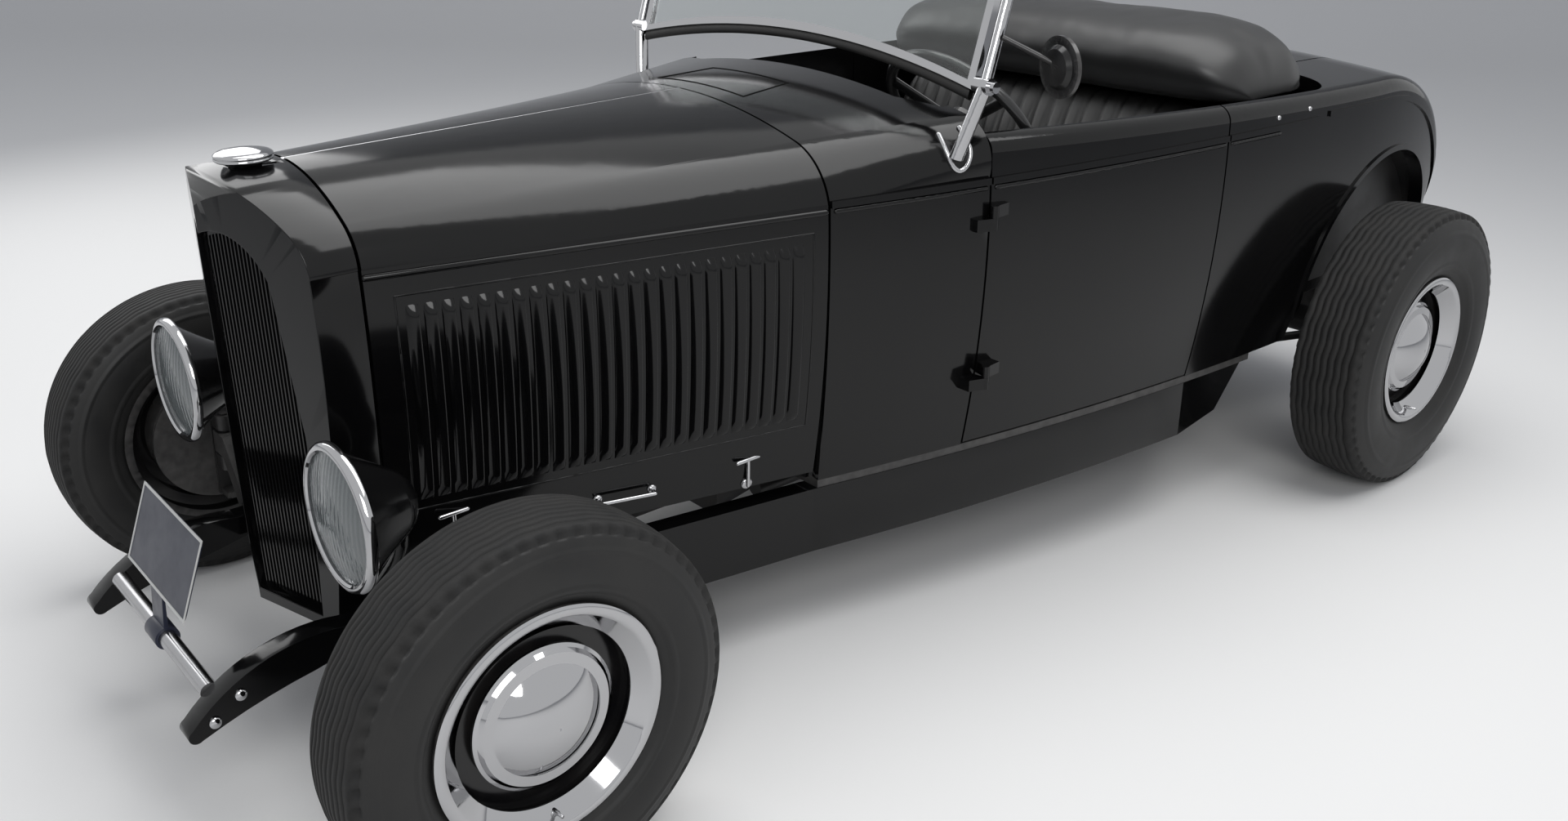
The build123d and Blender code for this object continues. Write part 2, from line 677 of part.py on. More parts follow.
# Hood: four panels, the tops hinged on a rod along the crown
HOOD_REAR = COWL_FRONT - PANEL_GAP
HINGE_ROD = 4.0

with BuildPart() as hood_top_left:
    add(crown_mass(CROWN_TABLE[0], CROWN_TABLE[1], 0))
    add(crown_mass(CROWN_TABLE[0], CROWN_TABLE[1], SHEET), mode=Mode.SUBTRACT)
    add(
        station_box(HOOD_FRONT + PANEL_GAP, HOOD_REAR, BELT, 1300, HINGE_ROD + PIN_FIT),
        mode=Mode.INTERSECT,
    )
hood_top_left.part.label = "hood_top_left"
export_step(hood_top_left.part, "parts/hood_top_left.step")
with BuildPart() as hood_top_right:
    mirror(hood_top_left.part, about=Plane.YZ)
hood_top_right.part.label = "hood_top_right"
export_step(hood_top_right.part, "parts/hood_top_right.step")

with BuildPart() as hood_side_left:
    add(hood_flank(0, SHEET, HOOD_BOTTOM, BELT))
    add(station_box(HOOD_FRONT + PANEL_GAP, HOOD_REAR), mode=Mode.INTERSECT)
hood_side_left.part.label = "hood_side_left"
export_step(hood_side_left.part, "parts/hood_side_left.step")
with BuildPart() as hood_side_right:
    mirror(hood_side_left.part, about=Plane.YZ)
hood_side_right.part.label = "hood_side_right"
export_step(hood_side_right.part, "parts/hood_side_right.step")

with BuildPart() as hood_hinge:
    start = at(0, HOOD_FRONT, CROWN_TABLE[0][1] - HINGE_ROD)
    finish = at(0, COWL_FRONT, CROWN_TABLE[1][1] - HINGE_ROD)
    with BuildSketch(Plane(origin=start, x_dir=(1, 0, 0), z_dir=finish - start)):
        Circle(HINGE_ROD)
    extrude(amount=(finish - start).length - 1)
hood_hinge.part.label = "hood_hinge"
export_step(hood_hinge.part, "parts/hood_hinge.step")

SHELL_WALL = 16.0
SHELL_POCKET = 62.0
GRILLE_BACK = 16.0           # grille face behind the shell's nose
GRILLE_FRAME = 7.0
SHELL_SEAT = -SEAT_FIT       # the grille's frame inside the shell's opening
GRILLE_PITCH = GRILLE_WIDE_HALF / (GRILLE_BARS + 0.5)


def grille_outline(grow):
    """The grille opening seen from the front, moved outward by grow."""
    top = GRILLE_TOP + grow
    with BuildSketch() as face:
        with BuildLine():
            low = (GRILLE_LOW_HALF + grow, GRILLE_LOW - grow)
            wide = (GRILLE_WIDE_HALF + grow, GRILLE_WIDE)
            shoulder = (GRILLE_TOP_HALF + 48 + grow, GRILLE_TOP - 60)
            Line((0, low[1]), low)
            Line(low, wide)
            Line(wide, shoulder)
            ThreePointArc(shoulder, (GRILLE_TOP_HALF + 8 + grow * 0.7, GRILLE_TOP - 14 + grow * 0.7), (0,
                top))
            Line((0, top), (0, low[1]))
        make_face()
        mirror(about=Plane.YZ)
    return face.sketch


# Radiator shell: the hood's front section carried forward, V-shaped seen from above, hollow behind
with BuildPart() as shell_block:
    with BuildSketch(across(HOOD_FRONT)):
        add(crown_section(CROWN_TABLE[0], 0))
        with BuildLine():
            side = [(HALF_FRONT + side_in(v), v) for v in (BELT, (BELT + SHELL_BOTTOM) / 2, SHELL_BOTTOM)]
            ThreePointArc(*side)
            Line(side[2], (-side[2][0], side[2][1]))
            ThreePointArc(*[(-u, v) for u, v in reversed(side)])
            Line((-side[0][0], side[0][1]), side[0])
        make_face()
    extrude(amount=HOOD_FRONT + SHELL_NOSE + 10)
with BuildPart() as shell_wedge:
    with BuildSketch(BODY.offset(200)):
        with BuildLine():
            nose = (0, -SHELL_NOSE)
            edge = (400, -SHELL_NOSE + 400 * SHELL_SWEEP)
            Polyline(nose, edge, (400, 40), (-400, 40), (-edge[0], edge[1]), close=True)
        make_face()
    extrude(amount=1000)
with BuildPart() as shell_brow:
    with BuildSketch(along(-400)):
        with BuildLine():
            Line((40, 1200), (40, 200))
            Line((40, 200), (-SHELL_NOSE - 10, 200))
            Line((-SHELL_NOSE - 10, 200), (-SHELL_NOSE - 10, 990))
            ThreePointArc((-SHELL_NOSE - 10, 990), (-SHELL_NOSE + 22, 1064), (-SHELL_NOSE + 96, 1094))
            Line((-SHELL_NOSE + 96, 1094), (-SHELL_NOSE + 96, 1200))
            Line((-SHELL_NOSE + 96, 1200), (40, 1200))
        make_face()
    extrude(amount=800)
with BuildPart() as radiator_shell:
    add(shell_block.part)
    add(shell_wedge.part, mode=Mode.INTERSECT)
    add(shell_brow.part, mode=Mode.INTERSECT)
    # hollow behind, open to the radiator
    with BuildSketch(across(HOOD_FRONT)):
        add(crown_section(CROWN_TABLE[0], SHELL_WALL))
        with BuildLine():
            side = [(HALF_FRONT + side_in(v) - SHELL_WALL, v) for v in (BELT, 609,
                SHELL_BOTTOM + SHELL_WALL)]
            ThreePointArc(*side)
            Line(side[2], (-side[2][0], side[2][1]))
            ThreePointArc(*[(-u, v) for u, v in reversed(side)])
            Line((-side[0][0], side[0][1]), side[0])
        make_face()
    extrude(amount=HOOD_FRONT + SHELL_POCKET, mode=Mode.SUBTRACT)
    # grille opening
    with BuildSketch(across(0)):
        add(grille_outline(0))
    extrude(amount=400, mode=Mode.SUBTRACT)
    # clear of the crossmember, and bored for the filler neck
    add(station_box(-CROSS_DEEP / 2 - 3, 20, 0, SHELL_BACK_LOW), mode=Mode.SUBTRACT)
    with BuildSketch(BODY.offset(RADIATOR_TOP)):
        with Locations((0, CAP_STATION)):
            Circle(NECK_RADIUS + 1)
    extrude(amount=200, mode=Mode.SUBTRACT)
radiator_shell.part.label = "radiator_shell"
export_step(radiator_shell.part, "parts/radiator_shell.step")

# Grille: a frame folded to the shell's V, filled with upright bars
with BuildPart() as grille_fold:
    with BuildSketch(BODY.offset(200)):
        with BuildLine():
            front = -SHELL_NOSE + GRILLE_BACK
            Polyline(
                (0, front),
                (300, front + 300 * SHELL_SWEEP),
                (300, front + 300 * SHELL_SWEEP + GRILLE_DEPTH),
                (0, front + GRILLE_DEPTH),
                (-300, front + 300 * SHELL_SWEEP + GRILLE_DEPTH),
                (-300, front + 300 * SHELL_SWEEP),
                close=True,
            )
        make_face()
    extrude(amount=900)
with BuildPart() as grille:
    with BuildSketch(across(0)):
        add(grille_outline(SHELL_SEAT))
        add(grille_outline(-GRILLE_FRAME), mode=Mode.SUBTRACT)
        with Locations([(i * GRILLE_PITCH, GRILLE_TOP / 2 + 150) for i in range(-GRILLE_BARS,
            GRILLE_BARS + 1)]):
            Rectangle(GRILLE_BAR, 1000)
        add(grille_outline(SHELL_SEAT), mode=Mode.INTERSECT)
    extrude(amount=300)
    add(grille_fold.part, mode=Mode.INTERSECT)
grille.part.label = "grille"
export_step(grille.part, "parts/grille.step")

# Radiator core behind the grille, with its filler neck and cap on the shell's crown
cap_seat = CROWN_TABLE[0][1]
with BuildPart() as radiator:
    with BuildSketch(across(RADIATOR_FRONT)):
        with Locations((0, (RADIATOR_TOP + RADIATOR_BOTTOM) / 2)):
            Rectangle(2 * RADIATOR_HALF, RADIATOR_TOP - RADIATOR_BOTTOM)
    extrude(amount=-RADIATOR_DEEP)
    with BuildSketch(across(RADIATOR_FRONT)):
        with Locations((0, RADIATOR_TOP)):
            SlotOverall(2 * RADIATOR_HALF - 40, 90)
    extrude(amount=-RADIATOR_DEEP)
    with BuildSketch(BODY.offset(RADIATOR_TOP)):
        with Locations((0, CAP_STATION)):
            Circle(NECK_RADIUS)
    extrude(amount=cap_seat + CAP_GAP - RADIATOR_TOP)
radiator.part.label = "radiator"
export_step(radiator.part, "parts/radiator.step")

with BuildPart() as radiator_cap:
    with BuildSketch(Plane(origin=at(0, CAP_STATION, cap_seat + CAP_GAP), x_dir=(1, 0, 0), z_dir=-AFT)):
        with BuildLine():
            Polyline((0, 0), (CAP_RADIUS - 2, 0), (CAP_RADIUS, 3), (CAP_RADIUS, 12), (CAP_RADIUS - 6, 16))
            Polyline((CAP_RADIUS - 6, 16), (0, 18), (0, 0))
        make_face()
    revolve(axis=Axis(at(0, CAP_STATION, 0), UP))
radiator_cap.part.label = "radiator_cap"
export_step(radiator_cap.part, "parts/radiator_cap.step")


# Frame: two rails with front horns and a kick-up over the rear axle, joined by crossmembers
def rail_half(y, inset=0):
    """Side position of a rail's outer face."""
    return belt_half(y) - RAIL_INSET - inset


with BuildPart() as frame:
    with BuildSketch(BODY.offset(100)):
        with BuildLine():
            outer = [(RAIL_HORN_HALF, -420), (RAIL_HORN_HALF, RAIL_STRAIGHT)]
            waist = [(rail_half(y), y) for y in (COWL_FRONT, 1400, DOOR_REAR)]
            tail = [(RAIL_REAR_HALF, TRUNK_FRONT + 220), (RAIL_REAR_HALF, RAIL_END)]
            Polyline(outer[0], outer[1], waist[0])
            ThreePointArc(*waist)
            Polyline(waist[2], tail[0], tail[1])
            shift = [[(x - RAIL_WIDTH, y) for x, y in row] for row in (outer, waist, tail)]
            Polyline(shift[0][0], shift[0][1], shift[1][0])
            ThreePointArc(*shift[1])
            Polyline(shift[1][2], shift[2][0], shift[2][1])
            Line(outer[0], shift[0][0])
            Line(tail[1], shift[2][1])
        make_face()
        mirror(about=Plane.YZ)
    extrude(amount=500)
    with BuildSketch(along(0)):
        with BuildLine():
            Line((RAIL_STRAIGHT, RAIL_TOP), (-100, RAIL_TOP))
            ThreePointArc((-100, RAIL_TOP), (-275, RAIL_TOP - 14), (-385, RAIL_TOP - 88))
            ThreePointArc((-385, RAIL_TOP - 88), (-391, RAIL_TOP - 108), (-372, RAIL_TOP - 112))
            ThreePointArc((-372, RAIL_TOP - 112), (-290, RAIL_TOP - 86), (-170, RAIL_TOP - 62))
            Polyline((-170, RAIL_TOP - 62), (-70, RAIL_TOP - 42), (90, RAIL_TOP - 42), (520, RAIL_DEEP))
            Line((520, RAIL_DEEP), (2180, RAIL_DEEP + 8))
            Polyline((2180, RAIL_DEEP + 8), (2470, RAIL_KICK_BOTTOM), (2930, RAIL_KICK_BOTTOM), (3080, 290))
            Polyline((3080, 290), (RAIL_END, 278), (RAIL_END, 332), (3130, 336), (2990, RAIL_KICK_TOP))
            Polyline((2990, RAIL_KICK_TOP), (2440, RAIL_KICK_TOP), (TRUNK_FRONT + 10, RAIL_TOP))
            Line((TRUNK_FRONT + 10, RAIL_TOP), (RAIL_STRAIGHT, RAIL_TOP))
        make_face()
    extrude(amount=800, both=True, mode=Mode.INTERSECT)
    # front crossmember, arched over the spring
    with BuildSketch(across(CROSS_FRONT)):
        with BuildLine():
            Polyline((-250, 262), (-250, 318), (-150, 352), (150, 352), (250, 318), (250, 262))
            Polyline((250, 262), (236, 262), (140, 318), (-140, 318), (-236, 262), (-250, 262))
        make_face()
    extrude(amount=CROSS_DEEP / 2, both=True)
    # engine crossmember, gearbox crossmember and the crossmember above the rear spring
    for y, low, high, deep, half in CROSSMEMBERS:
        with BuildSketch(across(y)):
            with Locations((0, (low + high) / 2)):
                Rectangle(2 * half, high - low)
        extrude(amount=deep / 2, both=True)
    # raised ends of the engine crossmember, over the radius rods
    for side, s in SIDES:
        with BuildSketch(across(CROSSMEMBERS[0][0])):
            with Locations((s * 240, 269)):
                Rectangle(120, 62)
        extrude(amount=30, both=True)
    # upturned ends of the gearbox crossmember, above the rails' flat underside
    station, low, high, deep, half = CROSSMEMBERS[1]
    for side, s in SIDES:
        with BuildSketch(across(station)):
            with BuildLine():
                Polyline((s * (half - 6), low), (s * (half + 26), END_LOW), (s * (half + 40), END_LOW),
                         (s * (half + 40), END_HIGH), (s * (half + 4), END_HIGH), (s * (half - 30), high),
                         (s * (half - 30), low), close=True)
            make_face()
        extrude(amount=deep / 2, both=True)
    # bumper-iron holes in the rear horns, in a level row
    for side, s in SIDES:
        for y in BUMPER_HOLES:
            with BuildSketch(Plane(origin=level(s * (RAIL_REAR_HALF - 60), y, BUMPER_HEIGHT), z_dir=(s, 0,
                0))):
                Circle(BUMPER_HOLE)
            extrude(amount=80, mode=Mode.SUBTRACT)
frame.part.label = "frame"
export_step(frame.part, "parts/frame.step")

# Spreader bars between the horns, front and rear
with BuildPart() as spreader_bars:
    with BuildSketch(along(-RAIL_HORN_HALF + RAIL_WIDTH)):
        with Locations((BAR_Y, BAR_Z)):
            Circle(BAR_RADIUS)
    extrude(amount=2 * (RAIL_HORN_HALF - RAIL_WIDTH))
    with BuildSketch(along(-RAIL_REAR_HALF + RAIL_WIDTH)):
        with Locations((RAIL_END - 22, 305)):
            Circle(BAR_RADIUS)
    extrude(amount=2 * (RAIL_REAR_HALF - RAIL_WIDTH))
spreader_bars.part.label = "spreader_bars"
export_step(spreader_bars.part, "parts/spreader_bars.step")

# Number plate, leaning back on a bracket that clamps the front spreader bar
PLATE = Plane(
    origin=at(0, BAR_Y + 4, BAR_Z + PLATE_LOW),
    x_dir=(1, 0, 0),
    z_dir=-AFT * cos(radians(PLATE_LEAN)) + UP * sin(radians(PLATE_LEAN)),
)
with BuildPart() as licence_plate:
    with BuildSketch(PLATE):
        with Locations((0, PLATE_TALL / 2)):
            RectangleRounded(PLATE_WIDE, PLATE_TALL, 12)
    extrude(amount=2)
    with BuildSketch(along(-30)):
        with Locations((BAR_Y, BAR_Z)):
            Circle(BAR_RADIUS + 6)
        with BuildLine():
            foot = (BAR_Y + 4, BAR_Z + PLATE_LOW)
            head = (foot[0] + 60 * sin(radians(PLATE_LEAN)), foot[1] + 60 * cos(radians(PLATE_LEAN)))
            Polyline(
                (BAR_Y - 4, BAR_Z + BAR_RADIUS + 2),
                foot,
                head,
                (head[0] + 4, head[1]),
                (foot[0] + 5, foot[1]),
                (BAR_Y + 4, BAR_Z + BAR_RADIUS + 2),
                close=True,
            )
        make_face()
    extrude(amount=60)
    with BuildSketch(along(-40)):
        with Locations((BAR_Y, BAR_Z)):
            Circle(BAR_RADIUS + SEAT_FIT)
    extrude(amount=80, mode=Mode.SUBTRACT)
licence_plate.part.label = "licence_plate"
export_step(licence_plate.part, "parts/licence_plate.step")

# Headlamps: bowl, chromed rim, domed lens, and a stand from each rail
def bowl_section(wall):
    """Half of the bowl seen from the side: ball nose, then a straight flare to the rim."""
    nose, tip = LAMP_NOSE - wall, LAMP_NOSE - LAMP_DEPTH
    bend = (tip - nose * cos(radians(60)), nose * sin(radians(60)))
    with BuildSketch() as face:
        with BuildLine():
            ThreePointArc((tip - nose, 0), (tip - nose * cos(radians(30)), nose * sin(radians(30))), bend)
            TangentArc(bend, (-6, LAMP_RADIUS - wall), tangent=(sin(radians(60)), cos(radians(60))))
            Polyline((-6, LAMP_RADIUS - wall), (-6, 0), (tip - nose, 0))
        make_face()
    return face.sketch


LAMP_NODES = ("headlamp_shells", "headlamp_rims", "headlamp_lenses", "headlamp_stands")
lamp_pieces = {name: [] for name in LAMP_NODES}
for side, s in SIDES:
    centre = at(s * LAMP_X, LAMP_Y, LAMP_Z)
    beam = Axis(centre, (0, -1, 0))
    section = Plane(origin=centre, x_dir=(0, -1, 0), z_dir=(1, 0, 0))
    with BuildPart() as headlamp_mass:
        with BuildSketch(section):
            add(bowl_section(0))
        revolve(axis=beam)
    with BuildPart() as headlamp_shell:
        with BuildSketch(section):
            add(bowl_section(0))
            add(bowl_section(LAMP_WALL), mode=Mode.SUBTRACT)
        revolve(axis=beam)
    lamp_pieces["headlamp_shells"].append(headlamp_shell.part)

    with BuildPart() as headlamp_rim:
        with BuildSketch(section):
            with BuildLine():
                Line((-6, LAMP_RADIUS + 1), (-6, LAMP_RADIUS - 9))
                Line((-6, LAMP_RADIUS - 9), (6, LAMP_RADIUS - 9))
                Line((6, LAMP_RADIUS - 9), (10, LAMP_RADIUS - 6))
                ThreePointArc((10, LAMP_RADIUS - 6), (8, LAMP_RADIUS + 3), (-6, LAMP_RADIUS + 7))
                Line((-6, LAMP_RADIUS + 7), (-6, LAMP_RADIUS + 1))
            make_face()
        revolve(axis=beam)
    lamp_pieces["headlamp_rims"].append(headlamp_rim.part)

    with BuildPart() as headlamp_lens:
        reach = LAMP_RADIUS - 9 - SEAT_FIT
        dome = (reach**2 + LENS_DOME**2) / (2 * LENS_DOME)
        middle = (2 + LENS_DOME - dome + sqrt(dome**2 - (reach / 2) ** 2), reach / 2)
        with BuildSketch(section):
            with BuildLine():
                Polyline((2 + LENS_DOME, 0), (-4, 0), (-4, reach), (2, reach))
                ThreePointArc((2, reach), middle, (2 + LENS_DOME, 0))
            make_face()
        revolve(axis=beam)
    lamp_pieces["headlamp_lenses"].append(headlamp_lens.part)

    with BuildPart() as headlamp_stand:
        foot = at(s * STAND_FOOT, STAND_Y, RAIL_TOP)
        top = at(s * LAMP_X, STAND_Y + 12, LAMP_Z - LAMP_RADIUS * 0.5)
        with BuildLine() as stem:
            Bezier(foot, foot + UP * 70, top - UP * 70, top)
        with BuildSketch(Plane(origin=foot, x_dir=(1, 0, 0), z_dir=UP)):
            Circle(STAND_RADIUS)
        sweep(path=stem.line)
        with BuildSketch(BODY.offset(RAIL_TOP)):
            with Locations((s * STAND_FOOT, STAND_Y)):
                RectangleRounded(44, 70, 8)
        extrude(amount=8)
        add(headlamp_mass.part, mode=Mode.SUBTRACT)
    lamp_pieces["headlamp_stands"].append(headlamp_stand.part)

for name, pieces in lamp_pieces.items():
    with BuildPart() as pair:
        for piece in pieces:
            add(piece)
    pair.part.label = name
    export_step(pair.part, f"parts/{name}.step")

# Engine as one block on its crossmember, with the gearbox behind it
with BuildPart() as engine:
    with BuildSketch(along(-ENGINE_HALF)):
        with BuildLine():
            Polyline((140, 330), (160, 246), (760, 246), (800, 330), (800, 640), (700, 760), (200, 760),
                (140, 640),
                     close=True)
        make_face()
    extrude(amount=2 * ENGINE_HALF)
    with BuildSketch(across(800)):
        with Locations((0, 385)):
            Circle(150)
    extrude(amount=-65)
    with BuildSketch(across(865)):
        with Locations((0, 222)):
            RectangleRounded(210, 190, 40)
    with BuildSketch(across(GEARBOX_REAR)):
        with Locations((0, 222)):
            RectangleRounded(110, 128, 30)
    loft(ruled=True)
engine.part.label = "engine"
export_step(engine.part, "parts/engine.step")

# Firewall across the front of the cowl
with BuildPart() as firewall:
    with BuildSketch(across(COWL_FRONT)):
        add(crown_section(CROWN_TABLE[1], COWL_WALL + SEAT_FIT))
        with BuildLine():
            side = [(HALF_COWL + side_in(v) - COWL_WALL - SEAT_FIT - 1, v) for v in (BELT, 645, FLOOR_TOP)]
            ThreePointArc(*side)
            Line(side[2], (-side[2][0], side[2][1]))
            ThreePointArc(*[(-u, v) for u, v in reversed(side)])
            Line((-side[0][0], side[0][1]), side[0])
        make_face()
    extrude(amount=-FIREWALL)
firewall.part.label = "firewall"
export_step(firewall.part, "parts/firewall.step")

# Dash under the cowl's rear edge, with a row of dial wells
with BuildPart() as dash:
    with BuildSketch(across(DASH_STATION)):
        add(crown_section(between_rows(DASH_STATION), COWL_WALL + 2))
        with Locations((0, BELT - 15)):
            Rectangle(2 * (belt_half(DASH_STATION) - COWL_WALL - 6), 32)
    extrude(amount=DASH_DEEP)
    add(cowl.part, mode=Mode.SUBTRACT)
    with BuildSketch(across(DASH_STATION)):
        with Locations((-150, 1000), (-50, 1010), (50, 1010), (150, 1000)):
            Circle(36)
    extrude(amount=6, mode=Mode.SUBTRACT)
dash.part.label = "dash"
export_step(dash.part, "parts/dash.step")

# Floor: flat on the rails, its edge shows as the sill; trunk floor above the axle
with BuildPart() as floor:
    with BuildSketch(BODY.offset(RAIL_TOP)):
        add(outline(-TUCK - 1, COWL_FRONT))
        with Locations((0, TRUNK_FRONT + 1500)):
            Rectangle(2000, 3000, mode=Mode.SUBTRACT)
    extrude(amount=FLOOR_THICK)
floor.part.label = "floor"
export_step(floor.part, "parts/floor.step")

with BuildPart() as trunk_floor:
    with BuildSketch(along(-WHEELHOUSE_INNER + SEAT_FIT)):
        with BuildLine():
            Polyline(
                (TRUNK_FRONT - 12, FLOOR_TOP),
                (TRUNK_FRONT - 12, TRUNK_FLOOR),
                (TRUNK_REAR, TRUNK_FLOOR),
                (TRUNK_REAR, TRUNK_FLOOR - 12),
                (TRUNK_FRONT, TRUNK_FLOOR - 12),
                (TRUNK_FRONT, FLOOR_TOP),
                close=True,
            )
        make_face()
    extrude(amount=2 * (WHEELHOUSE_INNER - SEAT_FIT))
    add(liner, mode=Mode.INTERSECT)
trunk_floor.part.label = "trunk_floor"
export_step(trunk_floor.part, "parts/trunk_floor.step")

house_pieces = []
for side, s in SIDES:
    with BuildPart() as wheelhouse:
        with BuildSketch(along(s * WHEELHOUSE_INNER)):
            with Locations((ARCH_Y, ARCH_HEIGHT)):
                Circle(ARCH_RADIUS + WHEELHOUSE_WALL + 4)
                Circle(ARCH_RADIUS + 4, mode=Mode.SUBTRACT)
            with Locations((ARCH_Y, ARCH_HEIGHT - 500)):
                Rectangle(1000, 1000, mode=Mode.SUBTRACT)
        extrude(amount=s * (HALF_MAX - WHEELHOUSE_INNER))
        with BuildSketch(along(s * WHEELHOUSE_INNER)):
            with Locations((ARCH_Y, ARCH_HEIGHT)):
                Circle(ARCH_RADIUS + WHEELHOUSE_WALL + 4)
            with Locations((ARCH_Y, ARCH_HEIGHT - 500)):
                Rectangle(1000, 1000, mode=Mode.SUBTRACT)
            with Locations((ARCH_Y, ARCH_HEIGHT + 20)):
                Rectangle(2 * ARCH_RADIUS + 24, 50)
        extrude(amount=s * WHEELHOUSE_WALL)
        add(liner, mode=Mode.INTERSECT)
    house_pieces.append(wheelhouse.part)
with BuildPart() as wheelhouses:
    for piece in house_pieces:
        add(piece)
wheelhouses.part.label = "wheelhouses"
export_step(wheelhouses.part, "parts/wheelhouses.step")

# Windshield posts: horseshoe base on the cowl, curved lower arm, straight upper post with its pivot knob
lean = atan2(POST_TOP[1] - POST_PIVOT[1], POST_TOP[2] - POST_PIVOT[2])
SCREEN = Plane(origin=at(0, POST_PIVOT[1], POST_PIVOT[2]), x_dir=(1, 0, 0),
    z_dir=-AFT * cos(lean) + UP * sin(lean))
SCREEN_TALL = hypot(POST_TOP[1] - POST_PIVOT[1], POST_TOP[2] - POST_PIVOT[2])
with BuildPart() as windshield_posts:
    for side, s in SIDES:
        base = at(s * POST_BASE[0], POST_BASE[1], POST_BASE[2])
        pivot = at(s * POST_PIVOT[0], POST_PIVOT[1], POST_PIVOT[2])
        top = at(s * POST_TOP[0], POST_TOP[1], POST_TOP[2])
        rise = pivot - base
        with BuildSketch(Plane(origin=base - rise * 0.12, x_dir=(0, 1, 0), z_dir=rise)):
            Ellipse(POST_RADIUS + 4, POST_RADIUS)
        extrude(amount=rise.length * 1.12)
        with BuildSketch(Plane(origin=pivot - (top - pivot) * 0.04, x_dir=(0, 1, 0), z_dir=top - pivot)):
            Ellipse(POST_RADIUS, POST_RADIUS * 0.8)
        extrude(amount=(top - pivot).length * 1.04)
        inner = POST_PIVOT[0] - SCREEN_HALF - SEAT_FIT
        with BuildSketch(Plane(origin=pivot - Vector(s * inner, 0, 0), x_dir=(0, 1, 0), z_dir=(s, 0, 0))):
            Circle(17)
        extrude(amount=inner + 14)
        with BuildSketch(Plane(origin=pivot + Vector(s * 14, 0, 0), x_dir=(0, 1, 0), z_dir=(s, 0, 0))):
            Circle(11)
        extrude(amount=14)
    add(crown_mass(CROWN_TABLE[1], CROWN_TABLE[2], -SEAT_FIT), mode=Mode.SUBTRACT)
windshield_posts.part.label = "windshield_posts"
export_step(windshield_posts.part, "parts/windshield_posts.step")


def screen_outline(inset):
    """The windshield seen square on: straight top, lower edge arched over the cowl."""
    half, low, high = SCREEN_HALF - inset, -SCREEN_LOW + inset, SCREEN_TALL - inset
    with BuildSketch() as face:
        with BuildLine():
            ThreePointArc((-half, low), (0, low + SCREEN_RISE), (half, low))
            Polyline((half, low), (half, high - 30))
            ThreePointArc((half, high - 30), (half - 9, high - 9), (half - 30, high))
            Line((half - 30, high), (30 - half, high))
            ThreePointArc((30 - half, high), (9 - half, high - 9), (-half, high - 30))
            Line((-half, high - 30), (-half, low))
        make_face()
    return face.sketch


with BuildPart() as windshield_frame:
    with BuildSketch(SCREEN):
        add(screen_outline(0))
        add(screen_outline(2 * SCREEN_RAIL), mode=Mode.SUBTRACT)
    extrude(amount=SCREEN_RAIL, both=True)
    with BuildSketch(SCREEN):
        add(screen_outline(SCREEN_RAIL))
    extrude(amount=3 + SEAT_FIT, both=True, mode=Mode.SUBTRACT)
windshield_frame.part.label = "windshield_frame"
export_step(windshield_frame.part, "parts/windshield_frame.step")

with BuildPart() as windshield_glass:
    with BuildSketch(SCREEN):
        add(screen_outline(SCREEN_RAIL + SEAT_FIT))
    extrude(amount=3, both=True)
windshield_glass.part.label = "windshield_glass"
export_step(windshield_glass.part, "parts/windshield_glass.step")

# Side mirror on an arm from the driver's post
with BuildPart() as side_mirror:
    arm_from = at(POST_PIVOT[0] + POST_RADIUS - 2, POST_PIVOT[1] + 29, POST_PIVOT[2] + 92)
    arm_to = at(688, 1278, POST_PIVOT[2] + 40)
    reach = arm_to - arm_from
    with BuildSketch(Plane(origin=arm_from, z_dir=reach)):
        Circle(6)
    extrude(amount=reach.length)
    with BuildSketch(Plane(origin=arm_to - Vector(0, 8, 0), x_dir=(1, 0, 0), z_dir=(-0.25, -1, -0.05))):
        Circle(MIRROR_RADIUS)
    extrude(amount=-9)
    with BuildSketch(Plane(origin=arm_to - Vector(0, 8, 0), x_dir=(1, 0, 0), z_dir=(-0.25, -1, -0.05))):
        Circle(MIRROR_RADIUS * 0.72)
    extrude(amount=9, taper=40)
    add(windshield_posts.part, mode=Mode.SUBTRACT)
side_mirror.part.label = "side_mirror"
export_step(side_mirror.part, "parts/side_mirror.step")

# Seat cushion, seat back and the covered folded top
with BuildPart() as seat_cushion:
    with BuildSketch(along(-SEAT_HALF)):
        with BuildLine():
            Polyline((SEAT_FRONT + 40, FLOOR_TOP + 1), (SEAT_REAR, FLOOR_TOP + 1), (SEAT_REAR,
                SEAT_TOP - 40))
            Line((SEAT_REAR, SEAT_TOP - 40), (SEAT_FRONT + 60, SEAT_TOP))
            ThreePointArc((SEAT_FRONT + 60, SEAT_TOP), (SEAT_FRONT + 12, SEAT_TOP - 22), (SEAT_FRONT,
                SEAT_TOP - 70))
            Line((SEAT_FRONT, SEAT_TOP - 70), (SEAT_FRONT + 40, FLOOR_TOP + 1))
        make_face()
    extrude(amount=2 * SEAT_HALF)
seat_cushion.part.label = "seat_cushion"
export_step(seat_cushion.part, "parts/seat_cushion.step")

with BuildPart() as seat_back:
    with BuildSketch(along(-SEAT_HALF)):
        with BuildLine():
            front, foot = SEAT_REAR - 80, SEAT_TOP - 55
            Polyline((front, foot), (SEAT_REAR + 60, foot), (SEAT_REAR + 150, BACK_TOP - 60))
            ThreePointArc((SEAT_REAR + 150, BACK_TOP - 60), (SEAT_REAR + 110, BACK_TOP), (SEAT_REAR + 50,
                BACK_TOP - 30))
            Line((SEAT_REAR + 50, BACK_TOP - 30), (front, foot))
        make_face()
    extrude(amount=2 * SEAT_HALF)
    add(seat_cushion.part, mode=Mode.SUBTRACT)
seat_back.part.label = "seat_back"
export_step(seat_back.part, "parts/seat_back.step")

